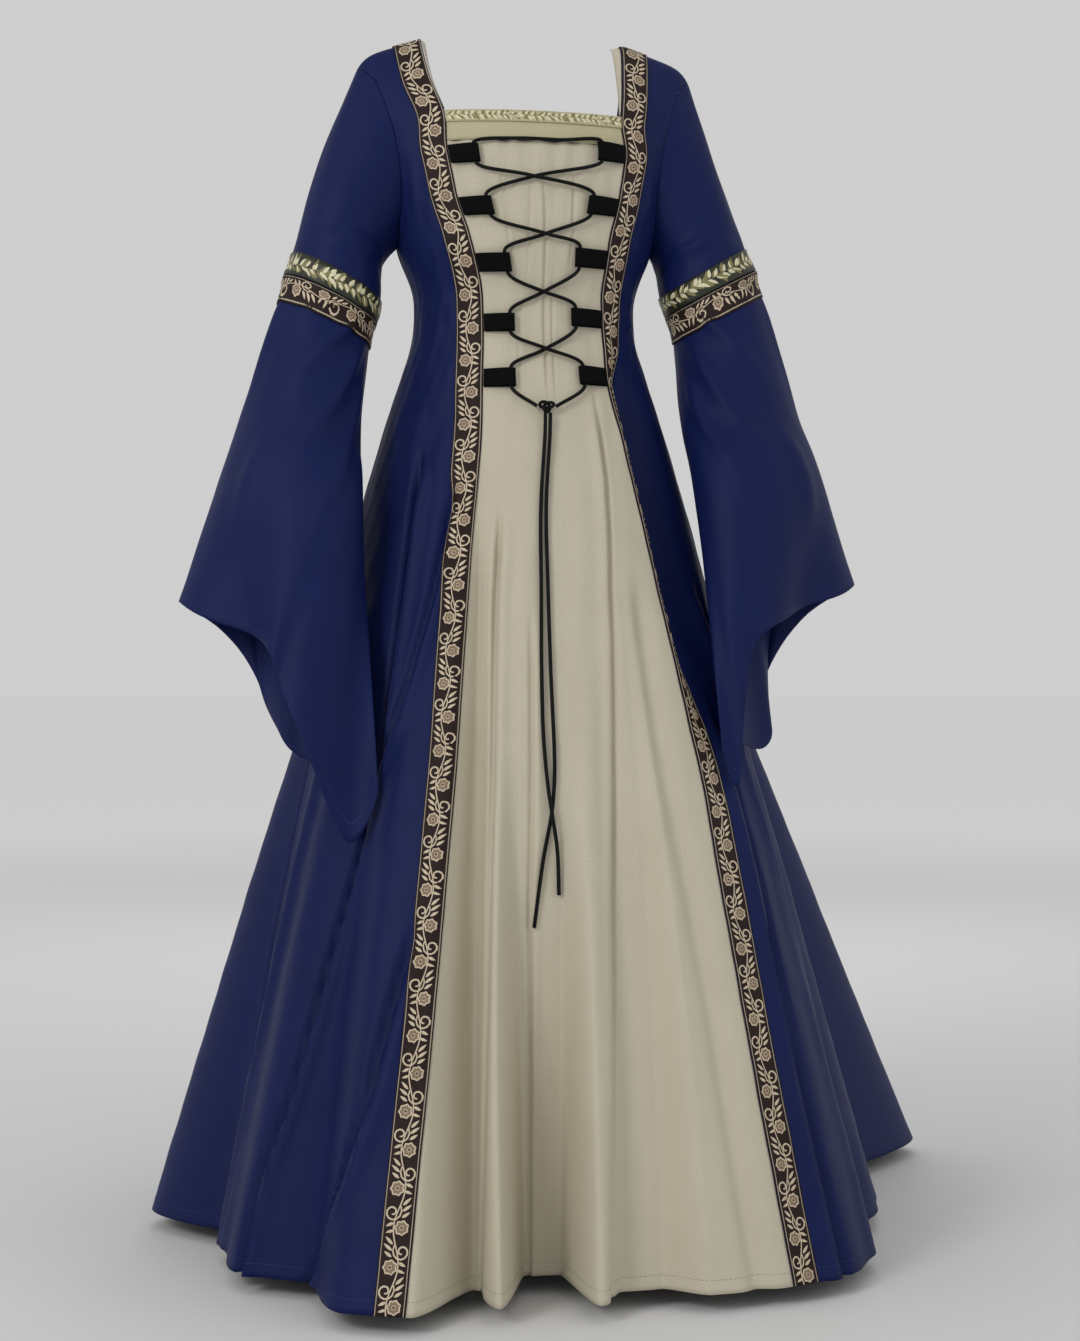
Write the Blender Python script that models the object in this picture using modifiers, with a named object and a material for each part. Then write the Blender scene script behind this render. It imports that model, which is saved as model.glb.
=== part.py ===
"""Long-sleeved medieval-style dress, worn shape with no wearer inside.

Metres, +Z up, front towards -Y. The origin is midway between the shoulder seams, where the wearer
carries the dress. "right" and "left" are the wearer's sides: right is -X, left is +X.
Each cut piece of cloth is its own thin wall, 0.3 mm clear of its neighbours at the seams.
"""
import math

import bmesh
import bpy
from mathutils import Vector

CLOTH = 0.0015          # wall of the dress cloth
BAND = 0.0012           # wall of trims, braid and arm bands
LAID_ON = 0.0005        # clear space under what lies on a panel
PANEL = (-CLOTH, 0.0)   # inner and outer face of a panel, over the dress's outer face
LAID = (LAID_ON, LAID_ON + BAND)
SEAM = 0.0003           # clear space between two panels at a seam
ARM_SEAM = 0.0006       # the same at the armhole, where the two walls meet at an angle
ARM_SEAM_LOW = 0.0012   # and what the sharper angle at its bottom adds
HEM = -1.375            # height of the hem
NECKLINE = -0.098       # top edge of the yoke
YOKE_END = -0.134       # seam between the yoke and the gathered centre front
BRAID_END = -0.112      # lower edge of the braid on the yoke
ARMPIT = -0.245
NECK_HALF = 0.119       # from the middle to the neck end of a shoulder seam
SHOULDER_LENGTH = 0.0796
SHOULDER_SLOPE = 0.30
SHOULDER_DROP = 0.0165  # extra fall at the sleeve's end of a shoulder seam
SHOULDER_ROUND = 9      # power of that fall along the seam
BACK_NECK = -0.075      # height of the back neck edge
TRIM_WIDTH = 0.0325
TAB_HEIGHT = 0.0205
TAB_START = 0.0015      # clear of the trim, whose edge is straight between its rows
TAB_WALL = 0.0009
LOOP_RADIUS = 0.0033    # inside of a tab's loop, round the lace
LACE = 0.0042           # diameter of the lace
LACE_UNDER = 0.0018     # clear space under the lower of two crossing laces
LACE_OVER = 0.0006      # and between the two
LACE_FREE = 0.0022      # and under the free ends
LOOP_RUN = 0.0030       # how far the lace runs straight past a tab
LOOP_RUN_TOP = 0.0022   # the same where it turns across at the top
TAB_UNDER = 0.0004      # clear space under a tab
TAB_JOIN = 0.0012       # and between its two layers where they are sewn down
TOP_RUN = 2             # route points of the lace's top run
TOP_LIFT = 0.0008
KNOT_HALF = (0.0105, 0.0065, 0.0080)
KNOT_UNDER = 0.0015
ENDS_CROSS = -0.892     # height where the short free end lies over the long one
CROSS_RISE, CROSS_RUN = 0.0046, 0.06
FACING = 0.0110         # depth of the facing at the shoulder
FACING_LOW = 0.3        # share of that depth left at the neckline
FACING_WALL = 0.0010
FACING_LEAN = (0.0050, 0.0085)      # how far the right and left facings lean into the neck at the shoulder
FOLDS_SPREAD = -0.45    # height below which the skirt's folds move round to their hem angles
FOLD_GROWTH = 1.2       # power at which folds grow towards the hem

# Level sections of the body: height, half width, depth of the front and of the back
BODY = (
    (0.000, 0.215, 0.0014, 0.0014),
    (-0.002, 0.215, 0.0190, 0.0190),
    (-0.008, 0.215, 0.0300, 0.0290),
    (-0.020, 0.214, 0.0410, 0.0390),
    (-0.045, 0.210, 0.0580, 0.0550),
    (-0.075, 0.203, 0.0750, 0.0680),
    (-0.120, 0.186, 0.0940, 0.0820),
    (-0.180, 0.166, 0.1080, 0.0920),
    (-0.245, 0.151, 0.1120, 0.0940),
    (-0.310, 0.130, 0.1000, 0.0840),
    (-0.340, 0.131, 0.0990, 0.0850),
    (-0.400, 0.147, 0.1090, 0.0980),
    (-0.440, 0.160, 0.1190, 0.1120),
    (-0.540, 0.190, 0.1460, 0.1520),
    (-0.700, 0.235, 0.1980, 0.2140),
    (-0.840, 0.273, 0.2480, 0.2680),
    (-0.960, 0.310, 0.2890, 0.3180),
    (-1.375, 0.430, 0.4200, 0.5000),
)

# Edge of the neck and of the trims: height, angle on the right, angle on the left (degrees from centre front)
EDGE = (
    (0.000, -35.5, 31.5),
    (-0.050, -34.8, 31.0),
    (-0.098, -32.6, 31.4),
    (-0.150, -35.2, 36.2),
    (-0.190, -35.0, 36.3),
    (-0.245, -30.9, 33.4),
    (-0.300, -29.0, 35.8),
    (-0.345, -27.8, 35.8),
    (-0.410, -25.3, 32.4),
    (-0.480, -23.5, 34.1),
    (-0.600, -24.0, 34.8),
    (-0.830, -23.8, 35.0),
    (-0.950, -23.6, 32.9),
    (-1.150, -23.4, 30.6),
    (-1.375, -23.6, 29.2),
)

# Armhole, front and back alike: height, angle
ARMHOLE = (
    (0.000, 67.5), (-0.020, 61.5), (-0.045, 57.0), (-0.080, 56.0),
    (-0.120, 58.0), (-0.187, 66.0), (-0.220, 74.0), (-0.238, 82.0), (-0.245, 90.0),
)

# Back edge of the neck opening: height, angles from centre back on the right and on the left
BACK_EDGE = ((0.000, 35.4, 31.7), (-0.020, 36.2, 34.0), (-0.050, 36.8, 36.2), (BACK_NECK, 37.0, 37.0))

SIDE_SEAM_HEM = (82, 105)       # angles of the side seams at the hem, right and left, each in a trough

# Skirt folds: angle where the fold starts, angle at the hem, ridge (+) or trough (-) at the hem,
# height where it starts
FOLDS = (
    (-180, -180, -0.050, -0.55),
    (-165, -164, 0.040, -0.50),
    (-149, -148, -0.065, -0.58),
    (-133, -132, 0.050, -0.52),
    (-118, -117, -0.045, -0.60),
    (-102, -101, 0.010, -0.50),
    (-84, -82, -0.075, -0.56),
    (-70, -70, -0.050, -0.56),
    (-60, -56, -0.012, -0.46),
    (-50, -44, -0.030, -0.46),
    (-38, -31, 0.051, -0.46),
    (-27, -23, 0.047, -0.50),
    (-22, -17.5, -0.066, -0.46),
    (-17, -12.5, 0.005, -0.50),
    (-11, -9.0, -0.125, -0.82),
    (0, -2.2, -0.125, -0.82),
    (8, 0.9, 0.000, -0.60),
    (19, 6.0, -0.047, -0.58),
    (23, 12.0, -0.044, -0.60),
    (27, 17.5, -0.003, -0.60),
    (40, 29.6, 0.018, -0.50),
    (48, 39.0, 0.030, -0.50),
    (58, 50.0, 0.012, -0.55),
    (68, 66.0, -0.040, -0.60),
    (82, 82.0, -0.010, -0.55),
    (96, 95.0, 0.010, -0.50),
    (106, 105.0, 0.035, -0.55),
    (119, 119.0, 0.250, -0.36),
    (131, 131, 0.185, -0.42),
    (143, 143, 0.110, -0.48),
    (157, 157, 0.010, -0.56),
    (169, 169, 0.040, -0.50),
    (180, 180, -0.050, -0.55),
)

FOLDS_TOP = max(row[3] for row in FOLDS)

# The left trim lies on the inner wall of a deep fold: height, depth of the fold
TUCK = (
    (-0.300, 0.000), (-0.360, 0.006), (-0.420, 0.024), (-0.500, 0.034), (-0.620, 0.035),
    (-0.690, 0.029), (-0.760, 0.016), (-0.840, 0.005), (-0.960, 0.000), (-1.375, 0.000),
)
TUCK_FALL = 0.030       # run of the fold's inner wall, and of its slope back out
TUCK_RISE = 0.075

# Gathers under the yoke
GATHERS = 8
GATHER_DEPTH = 0.0016
GATHER_END = -0.30

# Arm rings: outer point, inner point, half depth to the front and back
RIGHT_ARM = (
    ((-0.243, 0.000, -0.150), (-0.168, 0.000, -0.268), 0.058, 0.056),
    ((-0.273, -0.010, -0.256), (-0.171, -0.010, -0.311), 0.058, 0.056),
    ((-0.282, -0.010, -0.282), (-0.177, -0.010, -0.335), 0.059, 0.057),
    ((-0.290, -0.015, -0.315), (-0.185, -0.015, -0.365), 0.060, 0.058),
    ((-0.328, -0.025, -0.430), (-0.198, -0.050, -0.470), 0.072, 0.064),
    ((-0.361, -0.040, -0.530), (-0.200, -0.105, -0.575), 0.078, 0.066),
)
LEFT_ARM = (
    ((0.235, 0.000, -0.150), (0.160, 0.000, -0.262), 0.058, 0.056),
    ((0.264, -0.010, -0.236), (0.163, -0.010, -0.295), 0.058, 0.056),
    ((0.276, -0.010, -0.261), (0.171, -0.010, -0.317), 0.059, 0.057),
    ((0.281, -0.015, -0.294), (0.179, -0.015, -0.350), 0.060, 0.058),
    ((0.318, -0.025, -0.420), (0.179, -0.055, -0.450), 0.072, 0.064),
    ((0.352, -0.040, -0.520), (0.182, -0.115, -0.550), 0.078, 0.066),
)

# Sleeve hems: turn round the arm (0 outer, 90 front, 180 inner, 270 back), point
RIGHT_HEM = (
    (0, (-0.404, -0.060, -0.660)),
    (40, (-0.364, -0.120, -0.684)),
    (75, (-0.316, -0.155, -0.707)),
    (108, (-0.303, -0.175, -0.742)),
    (140, (-0.277, -0.200, -0.803)),
    (165, (-0.228, -0.208, -0.922)),
    (188, (-0.194, -0.208, -0.866)),
    (215, (-0.222, -0.178, -0.848)),
    (245, (-0.272, -0.130, -0.834)),
    (280, (-0.298, -0.090, -0.799)),
    (312, (-0.312, -0.052, -0.752)),
    (340, (-0.362, -0.032, -0.690)),
)
LEFT_HEM = (
    (0, (0.388, -0.050, -0.636)),
    (40, (0.340, -0.105, -0.655)),
    (75, (0.282, -0.150, -0.676)),
    (105, (0.235, -0.180, -0.705)),
    (135, (0.215, -0.195, -0.770)),
    (160, (0.207, -0.205, -0.866)),
    (185, (0.190, -0.200, -0.825)),
    (215, (0.222, -0.165, -0.820)),
    (245, (0.264, -0.110, -0.827)),
    (280, (0.281, -0.065, -0.790)),
    (312, (0.282, -0.042, -0.745)),
    (340, (0.340, -0.030, -0.672)),
)
# Folds round the bell of a sleeve: turn, ridge (+) or trough (-) at the hem
SLEEVE_FOLDS = (
    (0, 0.000), (28, 0.007), (58, -0.009), (92, 0.007), (125, -0.006), (160, 0.000),
    (200, 0.000), (235, 0.007), (268, -0.008), (300, 0.007), (332, -0.006),
)

# Pairs of tabs: height and length of the right and the left one
TABS = (
    (-0.1512, 0.0355, -0.1438, 0.0370),
    (-0.2115, 0.0375, -0.2070, 0.0405),
    (-0.2740, 0.0385, -0.2665, 0.0430),
    (-0.3420, 0.0355, -0.3340, 0.0420),
    (-0.4070, 0.0370, -0.4025, 0.0370),
)
# Crossings of the lace between them: height, place across the front
CROSSINGS = ((-0.1790, 0.444), (-0.2438, 0.503), (-0.3070, 0.476), (-0.3740, 0.472))
KNOT_HEIGHT = -0.4417
KNOT_ACROSS = 0.4505
# Free ends of the lace: place across the front (0 to 1), height
LONG_END = (
    (0.467, -0.4496), (0.448, -0.475), (0.406, -0.547), (0.389, -0.649), (0.379, -0.740),
    (0.375, -0.815), (0.371, -0.860), (0.361, -0.892), (0.332, -0.940), (0.299, -1.011),
)
SHORT_END = (
    (0.434, -0.4496), (0.416, -0.475), (0.376, -0.547), (0.356, -0.649), (0.340, -0.740),
    (0.335, -0.815), (0.345, -0.860), (0.361, -0.892), (0.384, -0.930), (0.392, -0.977),
)

ROWS = (
    HEM, -1.280, -1.175, -1.070, -0.960, -0.850, -0.745, -0.650, -0.565, -0.495, -0.440, -0.390, -0.345,
    -0.305, -0.275, ARMPIT, -0.236, -0.213, -0.187, -0.160, YOKE_END, BRAID_END, NECKLINE,
    BACK_NECK, -0.045, -0.020, -0.008, -0.002, 0.0,
)
FRONT_COLUMNS = 22
SIDE_COLUMNS = 12
BACK_COLUMNS = 12
NECK_COLUMNS = 5        # of them from centre back to the neck edge
ARM_COLUMNS = 2 * (len(ROWS) - 1 - ROWS.index(ARMPIT))    # the armhole's rows, front and back

for old in list(bpy.data.objects):
    bpy.data.objects.remove(old)

dress = bpy.data.collections.new("historical_dress")
bpy.context.scene.collection.children.link(dress)


def read_table(rows, at):
    """The columns of a table after its first, read at a value of the first, along smooth curves."""
    falling = rows[0][0] > rows[-1][0]
    last = len(rows) - 2
    i = 0
    while i < last and ((at < rows[i + 1][0]) if falling else (at > rows[i + 1][0])):
        i += 1
    k0, k1 = rows[i][0], rows[i + 1][0]
    t = min(1.0, max(0.0, (at - k0) / (k1 - k0)))
    read = []
    for column in range(1, len(rows[0])):
        v0, v1 = rows[i][column], rows[i + 1][column]
        step = (v1 - v0) / (k1 - k0)
        before = step if i == 0 else (v0 - rows[i - 1][column]) / (k0 - rows[i - 1][0])
        after = step if i == last else (rows[i + 2][column] - v1) / (rows[i + 2][0] - k1)
        m0 = 0.0 if before * step <= 0 else 2 * before * step / (before + step)
        m1 = 0.0 if after * step <= 0 else 2 * after * step / (after + step)
        h = k1 - k0
        read.append((2 * t**3 - 3 * t**2 + 1) * v0 + (t**3 - 2 * t**2 + t) * h * m0
                    + (3 * t**2 - 2 * t**3) * v1 + (t**3 - t**2) * h * m1)
    return read


def ease(t):
    """0 to 1 with a soft start and end."""
    t = min(1.0, max(0.0, t))
    return t * t * (3 - 2 * t)


def edge_angle(side, s):
    """Angle of the neck edge and of a trim's inner edge; side is -1 right, 1 left."""
    right, left = read_table(EDGE, s)
    return math.radians(right if side < 0 else left)


def tuck(angle, s):
    """How deep the fold under the left trim is at an angle."""
    depth = read_table(TUCK, s)[0] if s < TUCK[0][0] else 0.0
    if depth <= 0:
        return 0.0
    half_width, front = read_table(BODY, s)[:2]
    run = (angle - edge_angle(1, s)) * (half_width + front) / 2
    if run < 0 or run > TUCK_FALL + TUCK_RISE:
        return 0.0
    if run < TUCK_FALL:
        return depth * ease(run / TUCK_FALL)
    return depth * ease(1 - (run - TUCK_FALL) / TUCK_RISE)


def fold(angle, s):
    """How far the skirt's folds stand out at an angle and height."""
    if s > FOLDS_TOP:
        return 0.0
    drop = min(1.0, max(0.0, (FOLDS_SPREAD - s) / (FOLDS_SPREAD - HEM)))
    degrees = math.degrees(angle)
    places = [top + (low - top) * drop for top, low, _, _ in FOLDS]
    i = 0
    while i < len(places) - 2 and degrees > places[i + 1]:
        i += 1
    heights = []
    for row in (FOLDS[i], FOLDS[i + 1]):
        grown = max(0.0, (row[3] - s) / (row[3] - HEM))
        heights.append(row[2] * grown**FOLD_GROWTH)
    t = (degrees - places[i]) / (places[i + 1] - places[i])
    return heights[0] + (heights[1] - heights[0]) * ease(t)


def body_point(angle, s):
    """Point of the dress's outer face, by angle from centre front and by height."""
    half_width, front, back = read_table(BODY, s)
    out = fold(angle, s) - tuck(angle, s)
    depth = front if math.cos(angle) > 0 else back
    x = (half_width + out) * math.sin(angle)
    y = -(depth + out) * math.cos(angle)
    gone = max(0.0, abs(x) - NECK_HALF)
    sloped = SHOULDER_SLOPE * gone + SHOULDER_DROP * (gone / SHOULDER_LENGTH)**SHOULDER_ROUND
    return Vector((x, y, s - sloped * ease((s - ARMPIT) / -ARMPIT)))


def body_lifted(angle, s, lift):
    """The same point, moved out along the face's normal."""
    step = 0.001
    low, high = max(HEM, s - step), min(0.0, s + step)
    turn = step / 0.3
    across = body_point(angle + turn, s) - body_point(angle - turn, s)
    up = body_point(angle, high) - body_point(angle, low)
    return body_point(angle, s) + across.cross(up).normalized() * lift


def walk(angle, s, distance):
    """Angle that lies a distance round the level section from another angle."""
    step = 0.01 if distance > 0 else -0.01
    here = body_point(angle, s)
    gone = 0.0
    while True:
        there = body_point(angle + step, s)
        length = (there - here).length
        if gone + length >= abs(distance):
            return angle + step * (abs(distance) - gone) / length
        gone += length
        angle += step
        here = there


def outer_edge(side, s):
    """Where a side front ends: at the armhole, or below it at the side seam."""
    if s > ARMPIT:
        return side * math.radians(read_table(ARMHOLE, s)[0])
    end = SIDE_SEAM_HEM[0 if side < 0 else 1]
    return side * math.radians(90 + (end - 90) * (ARMPIT - s) / (ARMPIT - HEM))


def seam_turn(s):
    """Half a seam's clear space as an angle."""
    return SEAM / 2 / max(0.1, read_table(BODY, s)[0])


def material(name, colour, roughness, metallic=0.0):
    made = bpy.data.materials.new(name)
    made.use_nodes = True
    shader = made.node_tree.nodes["Principled BSDF"]
    shader.inputs["Base Color"].default_value = (*colour, 1.0)
    shader.inputs["Roughness"].default_value = roughness
    shader.inputs["Metallic"].default_value = metallic
    return made


BLUE = (0.017, 0.030, 0.105)
BEIGE = (0.50, 0.45, 0.32)
KHAKI = (0.38, 0.33, 0.21)
DARK_BROWN = (0.030, 0.016, 0.013)
OLIVE = (0.22, 0.21, 0.09)
BLACK = (0.006, 0.006, 0.008)


def place(mesh, name, colour, roughness):
    made = bpy.data.objects.new(name, mesh)
    dress.objects.link(made)
    mesh.materials.append(material(name, colour, roughness))
    return made


def grid(columns, rows, closed=False, left_out=None):
    """A triangulated grid in column and row numbers; closed joins its last column to its first."""
    shape = bmesh.new()
    bmesh.ops.create_grid(shape, x_segments=columns, y_segments=rows, size=1.0)
    column = shape.verts.layers.int.new("column")
    row = shape.verts.layers.int.new("row")
    empty = []
    for vert in shape.verts:
        i = round((vert.co.x + 1) / 2 * columns)
        j = round((vert.co.y + 1) / 2 * rows)
        vert[column], vert[row] = i % columns if closed else i, j
        if left_out and left_out(i, j):
            empty.append(vert)
        if closed:
            turn = 2 * math.pi * i / columns
            vert.co = (math.cos(turn), math.sin(turn), j)
    bmesh.ops.delete(shape, geom=empty, context="VERTS")
    if closed:
        bmesh.ops.remove_doubles(shape, verts=shape.verts, dist=0.0001)
    bmesh.ops.triangulate(shape, faces=shape.faces, quad_method="FIXED")
    return shape, column, row


def finish(shape, name, colour, roughness):
    bmesh.ops.recalc_face_normals(shape, faces=shape.faces)
    for face in shape.faces:
        face.smooth = True
    mesh = bpy.data.meshes.new(name)
    shape.to_mesh(mesh)
    shape.free()
    return place(mesh, name, colour, roughness)


def wall(name, columns, rows, point, lifts, colour, roughness=0.7, closed=False, left_out=None):
    """A piece of cloth: a grid for its inner face and one for its outer face, joined at the rim.

    point(i, j, lift) gives column i and row j at a height over the dress's outer face, columns
    running to the wearer's left round the front and rows running up. lifts are the heights of
    the two faces. left_out(i, j) is true where the piece has no cloth.
    """
    shape, column, row = grid(columns, rows, closed, left_out)
    first = set(shape.verts)
    bmesh.ops.extrude_face_region(shape, geom=shape.faces[:], use_keep_orig=True)
    for vert in shape.verts:
        lift = lifts[0] if vert in first else lifts[1]
        vert.co = point(vert[column], vert[row], lift)
    rim = [face for face in shape.faces if len(face.verts) == 4]
    bmesh.ops.triangulate(shape, faces=rim, quad_method="SHORT_EDGE")
    return finish(shape, name, colour, roughness)


def folded(name, columns, rows, point, thickness, colour, roughness):
    """A folded strip: a grid for its middle, thickened both ways."""
    shape, column, row = grid(columns, rows)
    for vert in shape.verts:
        vert.co = point(vert[column], vert[row])
    made = finish(shape, name, colour, roughness)
    solid = made.modifiers.new("wall", "SOLIDIFY")
    solid.thickness = thickness
    solid.offset = 0.0
    return made


def tube(name, points, diameter, colour):
    """A cord through points, with filled ends."""
    curve = bpy.data.curves.new(name, "CURVE")
    curve.dimensions = "3D"
    curve.bevel_depth = diameter / 2
    curve.bevel_resolution = 2
    curve.use_fill_caps = True
    line = curve.splines.new("POLY")
    line.points.add(len(points) - 1)
    for knot, spot in zip(line.points, points):
        knot.co = (*spot, 1.0)
    return place(curve, name, colour, 0.6)


def smooth_path(route, counts, reach=(1.0, 1.0, 1.0)):
    """Points on a smooth curve through route points; counts gives the steps of each span.

    reach scales each number of a point to metres, for the spans' lengths.
    """
    def far(p, q):
        return max(0.0001, math.sqrt(sum(((b - a) * k) ** 2 for a, b, k in zip(p, q, reach)))) ** 0.5

    path = []
    for i, count in enumerate(counts):
        a, b = route[max(0, i - 1)], route[i]
        c, d = route[i + 1], route[min(len(route) - 1, i + 2)]
        span, before, after = far(b, c), far(a, b), far(c, d)
        for k in range(count):
            t = k / count
            spot = []
            for p, q, r, w in zip(a, b, c, d):
                leave = (r - q) if i == 0 else (
                    (q - p) / before - (r - p) / (before + span) + (r - q) / span) * span
                arrive = (r - q) if i == len(counts) - 1 else (
                    (r - q) / span - (w - q) / (span + after) + (w - r) / after) * span
                spot.append((2 * t**3 - 3 * t**2 + 1) * q + (t**3 - 2 * t**2 + t) * leave
                            + (3 * t**2 - 2 * t**3) * r + (t**3 - t**2) * arrive)
            path.append(tuple(spot))
    path.append(tuple(route[-1]))
    return path


def gather(w, s):
    """Small pleats of the centre front under the yoke seam."""
    fade = ease((s - GATHER_END) / (YOKE_END - GATHER_END))
    return GATHER_DEPTH * fade * (math.cos(2 * math.pi * GATHERS * w) - 1) / 2


def front_angle(w, s):
    """Angle of a place across the front: 0 at the right seam, 1 at the left seam."""
    right = edge_angle(-1, s) + seam_turn(s)
    left = edge_angle(1, s) - seam_turn(s)
    return right + (left - right) * w


def make_front():
    rows = [s for s in ROWS if s <= YOKE_END]
    rows[-1] -= SEAM / 2

    def centre(i, j, lift):
        w, s = i / FRONT_COLUMNS, rows[j]
        return body_lifted(front_angle(w, s), s, lift + gather(w, s))

    wall("centre_front", FRONT_COLUMNS, len(rows) - 1, centre, PANEL, BEIGE)
    levels = [YOKE_END + SEAM / 2, BRAID_END, NECKLINE]
    columns = FRONT_COLUMNS // 2

    def yoke(i, j, lift):
        return body_lifted(front_angle(i / columns, levels[j]), levels[j], lift)

    def braid(i, j, lift):
        return yoke(i, j + 1, lift)

    wall("yoke", columns, 2, yoke, PANEL, KHAKI)
    wall("neckline_braid", columns, 1, braid, LAID, OLIVE, 0.45)


def side_angle(side, i, s):
    """Columns of a side front: trim's inner edge, middle and outer edge, then on to the side."""
    inner = edge_angle(side, s) + side * seam_turn(s)
    if i <= 2:
        return walk(inner, s, side * TRIM_WIDTH * i / 2) if i else inner
    trim_end = walk(inner, s, side * TRIM_WIDTH)
    end = outer_edge(side, s) - side * seam_turn(s)
    return trim_end + (end - trim_end) * (i - 2) / (SIDE_COLUMNS - 2)


def make_sides():
    for side, name in ((-1, "right"), (1, "left")):
        def panel(i, j, lift):
            column = i if side > 0 else SIDE_COLUMNS - i
            return body_lifted(side_angle(side, column, ROWS[j]), ROWS[j], lift)

        def trim(i, j, lift):
            column = i if side > 0 else 2 - i
            return body_lifted(side_angle(side, column, ROWS[j]), ROWS[j], lift)

        wall("side_front_" + name, SIDE_COLUMNS, len(ROWS) - 1, panel, PANEL, BLUE, 0.5)
        wall("trim_" + name, 2, len(ROWS) - 1, trim, LAID, DARK_BROWN, 0.5)


def back_angle(side, i, s):
    """Columns of a back, from centre back to the neck edge and on to the side, as angles."""
    neck = math.radians(read_table(BACK_EDGE, max(s, BACK_NECK))[0 if side < 0 else 1])
    if i <= NECK_COLUMNS:
        middle = seam_turn(s)
        return math.pi - middle - (neck - middle) * i / NECK_COLUMNS
    end = abs(outer_edge(side, s))
    if s > ARMPIT:
        end = math.pi - end
    start = math.pi - neck
    return start + (end + seam_turn(s) - start) * (i - NECK_COLUMNS) / (BACK_COLUMNS - NECK_COLUMNS)


def make_backs():
    for side, name in ((-1, "right"), (1, "left")):
        def column(i):
            return i if side < 0 else BACK_COLUMNS - i

        def panel(i, j, lift):
            return body_lifted(side * back_angle(side, column(i), ROWS[j]), ROWS[j], lift)

        def neck(i, j):
            return column(i) < NECK_COLUMNS and ROWS[j] > BACK_NECK

        wall("back_" + name, BACK_COLUMNS, len(ROWS) - 1, panel, PANEL, BLUE, 0.5, left_out=neck)


def make_facings():
    levels = [NECKLINE + 0.003] + [s for s in ROWS if NECKLINE < s < 0]
    for side, name in ((-1, "right"), (1, "left")):
        def strip(i, j, lift):
            s = levels[j]
            edge = body_point(edge_angle(side, s), s)
            depth = FACING * (FACING_LOW + (1 - FACING_LOW) * (s - NECKLINE) / -NECKLINE)
            back = i if side > 0 else 1 - i
            lean = FACING_LEAN[0 if side < 0 else 1] * (s - NECKLINE) / -NECKLINE
            inside = side * (2 * SEAM + lift + lean * (1 - back))
            return Vector((edge.x - inside, edge.y + LAID_ON + min(depth, -edge.y - 0.006) * (1 - back), edge.z))

        wall("neck_facing_" + name, 1, len(levels) - 1, strip, (0.0, FACING_WALL), BEIGE)


def arm_seam(side, turn):
    """Angle and height on the armhole seam, by turn round the arm."""
    s = ARMPIT * (1 - math.cos(turn)) / 2
    angle = side * math.radians(read_table(ARMHOLE, s)[0])
    return (angle if math.sin(turn) >= 0 else side * math.pi - angle), s


def arm_loop(side, turn):
    """Edge of the sleeve at the armhole, a seam's clear space off the body's edge."""
    step = 0.05
    along = body_point(*arm_seam(side, turn + step)) - body_point(*arm_seam(side, turn - step))
    edge = body_point(*arm_seam(side, turn))
    out = body_lifted(*arm_seam(side, turn), 0.001) - edge
    clear = ARM_SEAM + ARM_SEAM_LOW * (1 - math.cos(turn)) / 2
    return edge + along.cross(out).normalized() * (clear * -side)


def hem_point(rows, turn):
    """Point of a sleeve's hem by turn, on a smooth loop through the rows."""
    degrees = math.degrees(turn) % 360
    looped = [(t - 360, *p) for t, p in rows] + [(t, *p) for t, p in rows] + [(t + 360, *p) for t, p in rows]
    i = max(k for k in range(len(looped)) if looped[k][0] <= degrees)
    a, b, c, d = looped[i - 1:i + 3]
    span = c[0] - b[0]
    t = (degrees - b[0]) / span
    spot = []
    for p, q, r, w in zip(a[1:], b[1:], c[1:], d[1:]):
        leave = (r - p) / (c[0] - a[0]) * span
        arrive = (w - q) / (d[0] - b[0]) * span
        spot.append((2 * t**3 - 3 * t**2 + 1) * q + (t**3 - 2 * t**2 + t) * leave
                    + (3 * t**2 - 2 * t**3) * r + (t**3 - t**2) * arrive)
    return Vector(spot)


def sleeve_fold(turn):
    degrees = math.degrees(turn) % 360
    rows = SLEEVE_FOLDS + ((360, 0.0),)
    i = max(k for k in range(len(rows) - 1) if rows[k][0] <= degrees)
    t = (degrees - rows[i][0]) / (rows[i + 1][0] - rows[i][0])
    return rows[i][1] + (rows[i + 1][1] - rows[i][1]) * ease(t)


def arm_point(side, turn, t):
    """Outer face of a sleeve; t is 0 at the armhole, 1 to 6 at the arm rings and 7 at the hem."""
    rings = LEFT_ARM if side > 0 else RIGHT_ARM
    hem = LEFT_HEM if side > 0 else RIGHT_HEM

    def ring(k):
        if k <= 0:
            return arm_loop(side, turn)
        if k > len(rings):
            spot = hem_point(hem, turn)
            out = Vector((side * math.cos(turn), -math.sin(turn), 0.0))
            return spot + out * sleeve_fold(turn)
        outer, inner, front, back = rings[k - 1]
        middle = (Vector(outer) + Vector(inner)) / 2
        deep = front if math.sin(turn) > 0 else back
        return middle + (Vector(outer) - middle) * math.cos(turn) + Vector((0, -deep * math.sin(turn), 0))

    k = min(len(rings), int(t))
    a, b, c, d = ring(k - 1), ring(k), ring(k + 1), ring(k + 2)
    f = t - k
    if k == 0:
        a = b
    if k == len(rings):
        d = c + (c - b) * 0.6
    return 0.5 * (2 * b + (c - a) * f + (2 * a - 5 * b + 4 * c - d) * f**2 + (3 * b - a - 3 * c + d) * f**3)


def arm_lifted(side, turn, t, lift):
    """The same point, moved out along the sleeve's normal."""
    if t <= 0:
        angle, s = arm_seam(side, turn)
        return arm_loop(side, turn) + body_lifted(angle, s, lift) - body_point(angle, s)
    step = 0.03
    across = arm_point(side, turn + step, t) - arm_point(side, turn - step, t)
    along = arm_point(side, turn, max(0.0, t - step)) - arm_point(side, turn, min(7.0, t + step))
    return arm_point(side, turn, t) + across.cross(along).normalized() * (lift * -side)


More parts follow.
